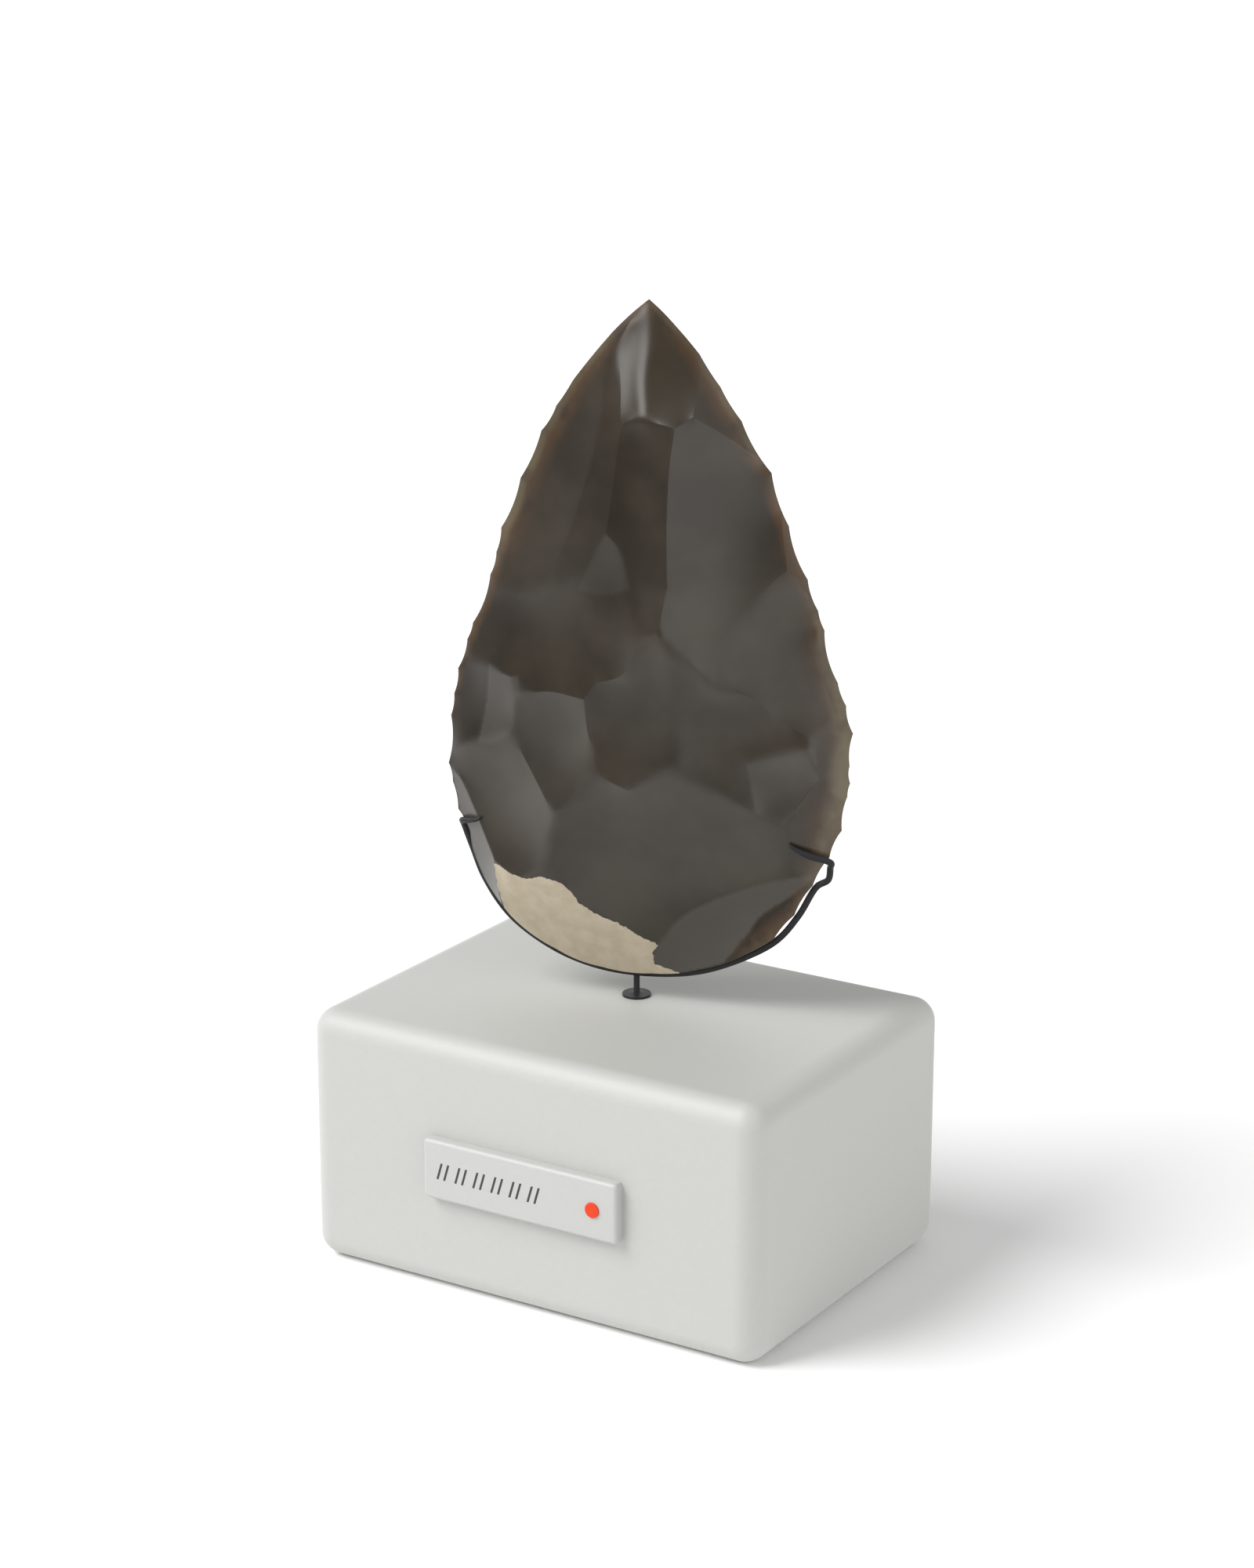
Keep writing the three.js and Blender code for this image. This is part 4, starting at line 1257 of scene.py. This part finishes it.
@dataclass
class WireCradle:
    """The painted wire that follows the stone's lower edge, its rod and its round foot."""

    node: str = "wire_cradle"
    slot: str = "cradle"
    stands_at: tuple[float, float] = (-0.5, 5.25)  # the foot's middle on the block's top
    turn: float = 12.0  # degrees about the upright axis
    foot_radius: float = 3.5
    foot_height: float = 0.6
    foot_bevel: float = 0.2
    rod_radius: float = 0.75
    wire_radius: float = 0.8
    tip_radius: float = 0.35
    ring_bottom: float = 6.0
    ring_gap: tuple[float, float] = (0.6, 0.005)  # in the middle, and more per millimetre to the right
    ring_forward: float = 0.8
    taper: float = 5.0
    samples: int = 340
    sides: int = 18
    stem_sides: int = 48
    fillet: float = 0.35  # between the rod and the foot
    sharp_angle: float = 40.0
    # Each point is across, forward and up from the foot; the claws end on the stone's face.
    left_claw: tuple[tuple[float, float, float], ...] = (
        (-38.1, 5.0, 42.5), (-39.1, 5.1, 41.8), (-40.4, 4.7, 41.4), (-41.9, 3.9, 41.0),
        (-43.8, 2.9, 40.5), (-44.2, 1.6, 39.8),
    )
    right_claw: tuple[tuple[float, float, float], ...] = (
        (48.1, 0.8, 35.1), (48.9, 1.8, 38.6), (49.5, 3.4, 40.2), (47.9, 3.7, 40.9),
        (45.0, 4.6, 41.7), (41.9, 5.7, 43.2), (40.0, 6.1, 44.4),
    )

    def held(self, top: float) -> Matrix:
        """Where the cradle and its stone stand, given the height of the block's top."""
        place = Matrix.Translation(Vector((*self.stands_at, top)) * MM)
        return place @ Matrix.Rotation(math.radians(self.turn), 4, "Z")

    def centre_line(self, axe: HandAxe) -> np.ndarray:
        """The wire's line: left claw, ring round the stone's lower edge, right claw.

        Args:
            axe: the stone that the ring follows.

        Returns:
            The line's points, evenly spaced.
        """
        knots = np.array([(x, z) for x, z, _ in axe.edge])
        along = np.roll(knots, -1, axis=0) - np.roll(knots, 1, axis=0)
        along /= np.linalg.norm(along, axis=1)[:, None]
        gap = self.ring_gap[0] + self.ring_gap[1] * knots[:, 0]
        across = knots[:, 0] + axe.offset[0] + gap * along[:, 1]
        up = knots[:, 1] + axe.offset[2] - gap * along[:, 0]
        low = up < self.right_claw[0][2] - 1
        forward = self.ring_forward * np.clip(np.abs(across) / 15, 0, 1)
        ring = list(zip(across[low], forward[low], up[low]))
        route = np.array([*self.left_claw, *ring, *self.right_claw])
        return smooth_curve(route * (1, -1, 1), self.samples)

    def build(self, axe: HandAxe, place: Matrix) -> bpy.types.Object:
        """Builds wire, rod and foot and joins them into one skin.

        Args:
            axe: the stone that the wire holds.
            place: where the foot stands.

        Returns:
            The cradle.
        """
        line = self.centre_line(axe)
        reached = travelled(line)
        to_end = np.minimum(reached, reached[-1] - reached)
        radii = np.interp(to_end, (0, 0.25, self.taper), (0.1, self.tip_radius, self.wire_radius))
        cradle = make_object(self.node, *tube(line, radii, self.sides))
        bevel, height = self.foot_bevel, self.foot_height
        outline = [
            (self.foot_radius - 0.05, 0.0),
            (self.foot_radius, 0.05),
            (self.foot_radius, height - bevel),
            *arc((self.foot_radius - 2 * bevel, height - bevel), 2 * bevel, 0, 90, 6)[1:-1],
            (self.foot_radius - 2 * bevel, height),
            (self.rod_radius + self.fillet, height),
            (self.rod_radius + 0.1, height + 0.1),
            (self.rod_radius, height + self.fillet),
            (self.rod_radius, self.ring_bottom),
        ]
        outline = [(r, min(z, height) if r > self.rod_radius + 0.3 else z) for r, z in outline]
        stem = make_object("stem", *turned(outline, self.stem_sides))
        clean_mesh(cradle)
        clean_mesh(stem)
        join = cradle.modifiers.new("braze", "BOOLEAN")
        join.operation, join.solver, join.object = "UNION", "EXACT", stem
        shaped = cradle.evaluated_get(bpy.context.evaluated_depsgraph_get())
        cradle.data = bpy.data.meshes.new_from_object(shaped)
        cradle.modifiers.clear()
        bpy.data.objects.remove(stem)
        cradle.data.shade_smooth()
        sharpen(cradle, self.sharp_angle)
        cradle.matrix_world = place
        return cradle


# ---------------------------------------------------------------- block, plate and dot


def node_box(node: str) -> tuple[np.ndarray, np.ndarray]:
    """Lowest and highest corner of a node, in millimetres."""
    low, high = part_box(node)
    return np.array(low) / MM, np.array(high) / MM


def middle_of_back(low: np.ndarray, high: np.ndarray) -> Vector:
    """The middle of a box's back, in metres."""
    return Vector(((low[0] + high[0]) / 2 * MM, high[1] * MM, (low[2] + high[2]) / 2 * MM))


@dataclass
class DisplayBlock:
    """The plain block, rounded over all its edges."""

    node: str = "display_block"
    slot: str = "block"
    radius: float = 6.0
    steps: int = 14

    def build(self) -> bpy.types.Object:
        """Builds the block to the size of its node.

        Returns:
            The block.
        """
        low, high = node_box(self.node)
        half = (high - low) / 2
        rings = []
        angles = np.linspace(-90, 90, 2 * self.steps + 2)
        for angle in np.radians(angles):
            out = self.radius * math.cos(angle)
            sides = half[:2] - self.radius + out
            ring = rounded_rectangle(*sides, max(out, 1e-4), self.steps)
            z = math.copysign(half[2] - self.radius, angle) + self.radius * math.sin(angle)
            rings.append(np.column_stack([ring, np.full(len(ring), z)]))
        block = make_object(self.node, *loft(np.array(rings)))
        clean_mesh(block, 0.01)
        block.location = Vector((low + high) / 2 * MM)
        return block


@dataclass
class NamePlate:
    """The plate on the block's front, rounded at its corners and over its front edge."""

    node: str = "name_plate"
    slot: str = "plate"
    corner: float = 1.1
    edge_radius: float = 1.0
    steps: int = 8
    sharp_angle: float = 50.0

    def build(self) -> bpy.types.Object:
        """Builds the plate to the size of its node.

        Returns:
            The plate, with its origin in the middle of its back.
        """
        low, high = node_box(self.node)
        half_x, thickness, half_z = (high[0] - low[0]) / 2, high[1] - low[1], (high[2] - low[2]) / 2
        levels = [(0.0, 0.0)]
        for angle in np.radians(np.linspace(0, 90, self.steps + 1)):
            inset = self.edge_radius * (1 - math.cos(angle))
            levels.append((inset, thickness - self.edge_radius * (1 - math.sin(angle))))
        rings = []
        for inset, forward in levels:
            ring = rounded_rectangle(half_x - inset, half_z - inset, self.corner - 0.9 * inset, self.steps)
            rings.append(np.column_stack([ring[:, 0], np.full(len(ring), -forward), ring[:, 1]]))
        plate = make_object(self.node, *loft(np.array(rings)))
        clean_mesh(plate)
        sharpen(plate, self.sharp_angle)
        plate.location = middle_of_back(low, high)
        return plate


@dataclass
class PlateDot:
    """The coloured dot on the plate."""

    node: str = "plate_dot"
    slot: str = "dot"
    edge_radius: float = 0.15
    sides: int = 64
    sharp_angle: float = 50.0

    def build(self) -> bpy.types.Object:
        """Builds the dot to the size of its node.

        Returns:
            The dot, facing forward.
        """
        low, high = node_box(self.node)
        radius, height = (high[0] - low[0]) / 2, high[1] - low[1]
        rounded = arc((radius - self.edge_radius, height - self.edge_radius), self.edge_radius, 0, 90, 5)
        vertices, faces = turned([(radius, 0.0), *rounded], self.sides)
        facing = np.column_stack([vertices[:, 0], -vertices[:, 2], vertices[:, 1]])
        dot = make_object(self.node, facing, faces)
        clean_mesh(dot)
        sharpen(dot, self.sharp_angle)
        dot.location = middle_of_back(low, high)
        return dot


# ---------------------------------------------------------------- camera and studio


def towards(azimuth: float, elevation: float) -> Vector:
    """The direction at an azimuth (0 is the front, and it grows to the right) and an elevation."""
    a, e = math.radians(azimuth), math.radians(elevation)
    return Vector((math.sin(a) * math.cos(e), -math.cos(a) * math.cos(e), math.sin(e)))


@dataclass(frozen=True)
class Viewpoint:
    """The camera, in front, to the right and a little above."""

    place: tuple[float, float, float] = (444.30, -709.61, 375.44)
    azimuth: float = 32.05
    elevation: float = 17.04
    lens: float = 85.0
    sensor: float = 36.0

    def build(self) -> None:
        """Makes the scene's camera."""
        data = bpy.data.cameras.new("camera")
        data.lens, data.sensor_width = self.lens, self.sensor
        camera = bpy.data.objects.new("camera", data)
        camera.location = Vector(self.place) * MM
        camera.rotation_euler = (-towards(self.azimuth, self.elevation)).to_track_quat("-Z", "Y").to_euler()
        bpy.context.scene.collection.objects.link(camera)
        bpy.context.scene.camera = camera


@dataclass(frozen=True)
class Sky:
    """A distant soft light, which lights the whole floor evenly."""

    name: str
    azimuth: float
    elevation: float
    spread: float
    strength: float
    mirrored: bool

    def build(self) -> None:
        """Makes the light."""
        data = bpy.data.lights.new(self.name, "SUN")
        data.angle, data.energy = math.radians(self.spread), self.strength * math.pi
        lamp = bpy.data.objects.new(self.name, data)
        lamp.rotation_euler = towards(self.azimuth, self.elevation).to_track_quat("Z", "Y").to_euler()
        lamp.visible_camera = False
        lamp.visible_glossy = self.mirrored
        bpy.context.scene.collection.objects.link(lamp)


@dataclass(frozen=True)
class Glow:
    """A soft round patch of the studio's walls that is brighter or darker than the rest."""

    azimuth: float
    elevation: float
    inner: float
    outer: float
    strength: float


@dataclass(frozen=True)
class Studio:
    """A white studio: pale floor, soft box at the upper left, and walls of uneven brightness."""

    ceiling: float = 0.2
    sides: float = 1.15
    walls: float = 1.05
    glows: tuple[Glow, ...] = (
        Glow(-85, -8, 25, 55, 0.62),
        Glow(32, -4, 12, 28, 0.4),
        Glow(-20, -60, 15, 35, 0.6),
    )
    shades: tuple[Glow, ...] = (
        Glow(-48, 8, 13, 22, 0.8),
        Glow(-24, 7, 13, 22, 0.85),
        Glow(3, 3, 18, 27, 0.93),
        Glow(10, 22, 16, 25, 0.93),
        Glow(0, -25, 8, 22, 0.2),
        Glow(62, 20, 12, 30, 0.3),
    )
    key: Glow = Glow(-16, 19, 7, 12.5, 6)
    skies: tuple[Sky, ...] = (
        Sky("left", -45, 47, 36, 0.84, True),
        Sky("right", 80, 15, 60, 0.2, False),
    )
    floor_colour: tuple[float, float, float] = (0.95, 0.95, 0.95)
    floor_reach: float = 30.0  # metres

    def build(self) -> None:
        """Makes the floor, the lights and the world."""
        self.floor()
        for sky in self.skies:
            sky.build()
        self.world()
        bpy.context.scene.view_settings.view_transform = "Standard"

    def floor(self) -> None:
        """Makes the floor, which isn't part of the object."""
        reach = self.floor_reach / MM
        corners = np.array([(-reach, -reach, 0), (reach, -reach, 0), (reach, reach, 0), (-reach, reach, 0)])
        floor = make_object("floor", corners, [(0, 1, 2, 3)])
        floor.data.materials.append(Finish("pale_floor", self.floor_colour, 0.9, mottle=0.0).material())
        floor.visible_glossy = False

    def world(self) -> None:
        """Makes the walls: plain white to the camera, even in their light, and uneven when mirrored."""
        world = bpy.data.worlds.new("studio")
        bpy.context.scene.world = world
        world.use_nodes = True
        nodes = Nodes(world.node_tree)
        place = nodes.add("ShaderNodeTexCoord").outputs["Generated"]
        level = self.walls
        for glow in self.glows:
            bright = nodes.math("MULTIPLY", self.patch(nodes, place, glow), glow.strength)
            level = nodes.math("ADD", level, bright)
        for shade in self.shades:
            dark = nodes.math("MULTIPLY", self.patch(nodes, place, shade), shade.strength)
            level = nodes.math("MULTIPLY", level, nodes.math("SUBTRACT", 1.0, dark))
        key = nodes.math("MULTIPLY", self.patch(nodes, place, self.key), self.key.strength)
        level = nodes.math("ADD", level, key)
        path = nodes.add("ShaderNodeLightPath")
        split = nodes.add("ShaderNodeSeparateXYZ")
        nodes.feed(split.inputs[0], place)
        higher = nodes.math("MAXIMUM", split.outputs["Z"], 0.0)
        even = nodes.math("SUBTRACT", self.sides, nodes.math("MULTIPLY", higher, self.sides - self.ceiling))
        beyond = nodes.math("SUBTRACT", level, even)
        mirrored = nodes.math("MULTIPLY", path.outputs["Is Glossy Ray"], beyond)
        lit = nodes.math("ADD", mirrored, even)
        shown = nodes.math("MAXIMUM", path.outputs["Is Camera Ray"], lit)
        light = nodes.add("ShaderNodeBackground")
        nodes.feed(light.inputs["Strength"], shown)
        light.inputs["Color"].default_value = (1.0, 1.0, 1.0, 1.0)
        out = nodes.add("ShaderNodeOutputWorld")
        nodes.feed(out.inputs["Surface"], light.outputs[0])

    @staticmethod
    def patch(nodes: Nodes, place: bpy.types.NodeSocket, glow: Glow) -> bpy.types.NodeSocket:
        """A soft round patch: 1 within its inner angle, 0 beyond its outer one."""
        dot = nodes.add("ShaderNodeVectorMath", operation="DOT_PRODUCT")
        nodes.feed(dot.inputs[0], place)
        dot.inputs[1].default_value = towards(glow.azimuth, glow.elevation)
        outer, inner = math.cos(math.radians(glow.outer)), math.cos(math.radians(glow.inner))
        return nodes.smooth_range(dot.outputs["Value"], outer, inner)


# ---------------------------------------------------------------- the scene


class Finishes(Enum):
    """The finish of each piece."""

    STONE = Flint()
    CRADLE = Finish(
        "painted_wire", (0.022, 0.022, 0.024), 0.45, grain_scale=1500, grain_depth=0.01, sheen=0.2
    )
    BLOCK = Finish("block_plastic", (0.475, 0.479, 0.455), 0.5)
    PLATE = InkedPlastic("plate_plastic", (0.48, 0.482, 0.468), 0.45)
    DOT = Finish("dot_plastic", (0.7, 0.06, 0.02), 0.5, sheen=0.1)


def dress(piece: bpy.types.Object, maker: object, finish: Finishes) -> None:
    """Gives a piece its finish and its place in the frame, and reports it.

    Args:
        piece: the piece.
        maker: the class that built it, with its node and slot.
        finish: the finish that it takes.
    """
    piece.data.materials.clear()
    piece.data.materials.append(finish.value.material())
    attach(piece, "root")
    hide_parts(maker.node)
    piece.name = maker.node + "_dressed"
    log.info("%s: %d faces", piece.name, len(piece.data.polygons))


def main() -> None:
    """Builds the camera, the pieces and the studio."""
    logging.basicConfig(level=logging.INFO, format="%(message)s")
    Viewpoint().build()
    axe, cradle = HandAxe(), WireCradle()
    held = cradle.held(node_box("display_block")[1][2])
    dress(axe.build(held), axe, Finishes.STONE)
    dress(cradle.build(axe, held), cradle, Finishes.CRADLE)
    for maker, finish in (
        (DisplayBlock(), Finishes.BLOCK),
        (NamePlate(), Finishes.PLATE),
        (PlateDot(), Finishes.DOT),
    ):
        dress(maker.build(), maker, finish)
    Studio().build()


if __name__ == "__main__":
    main()
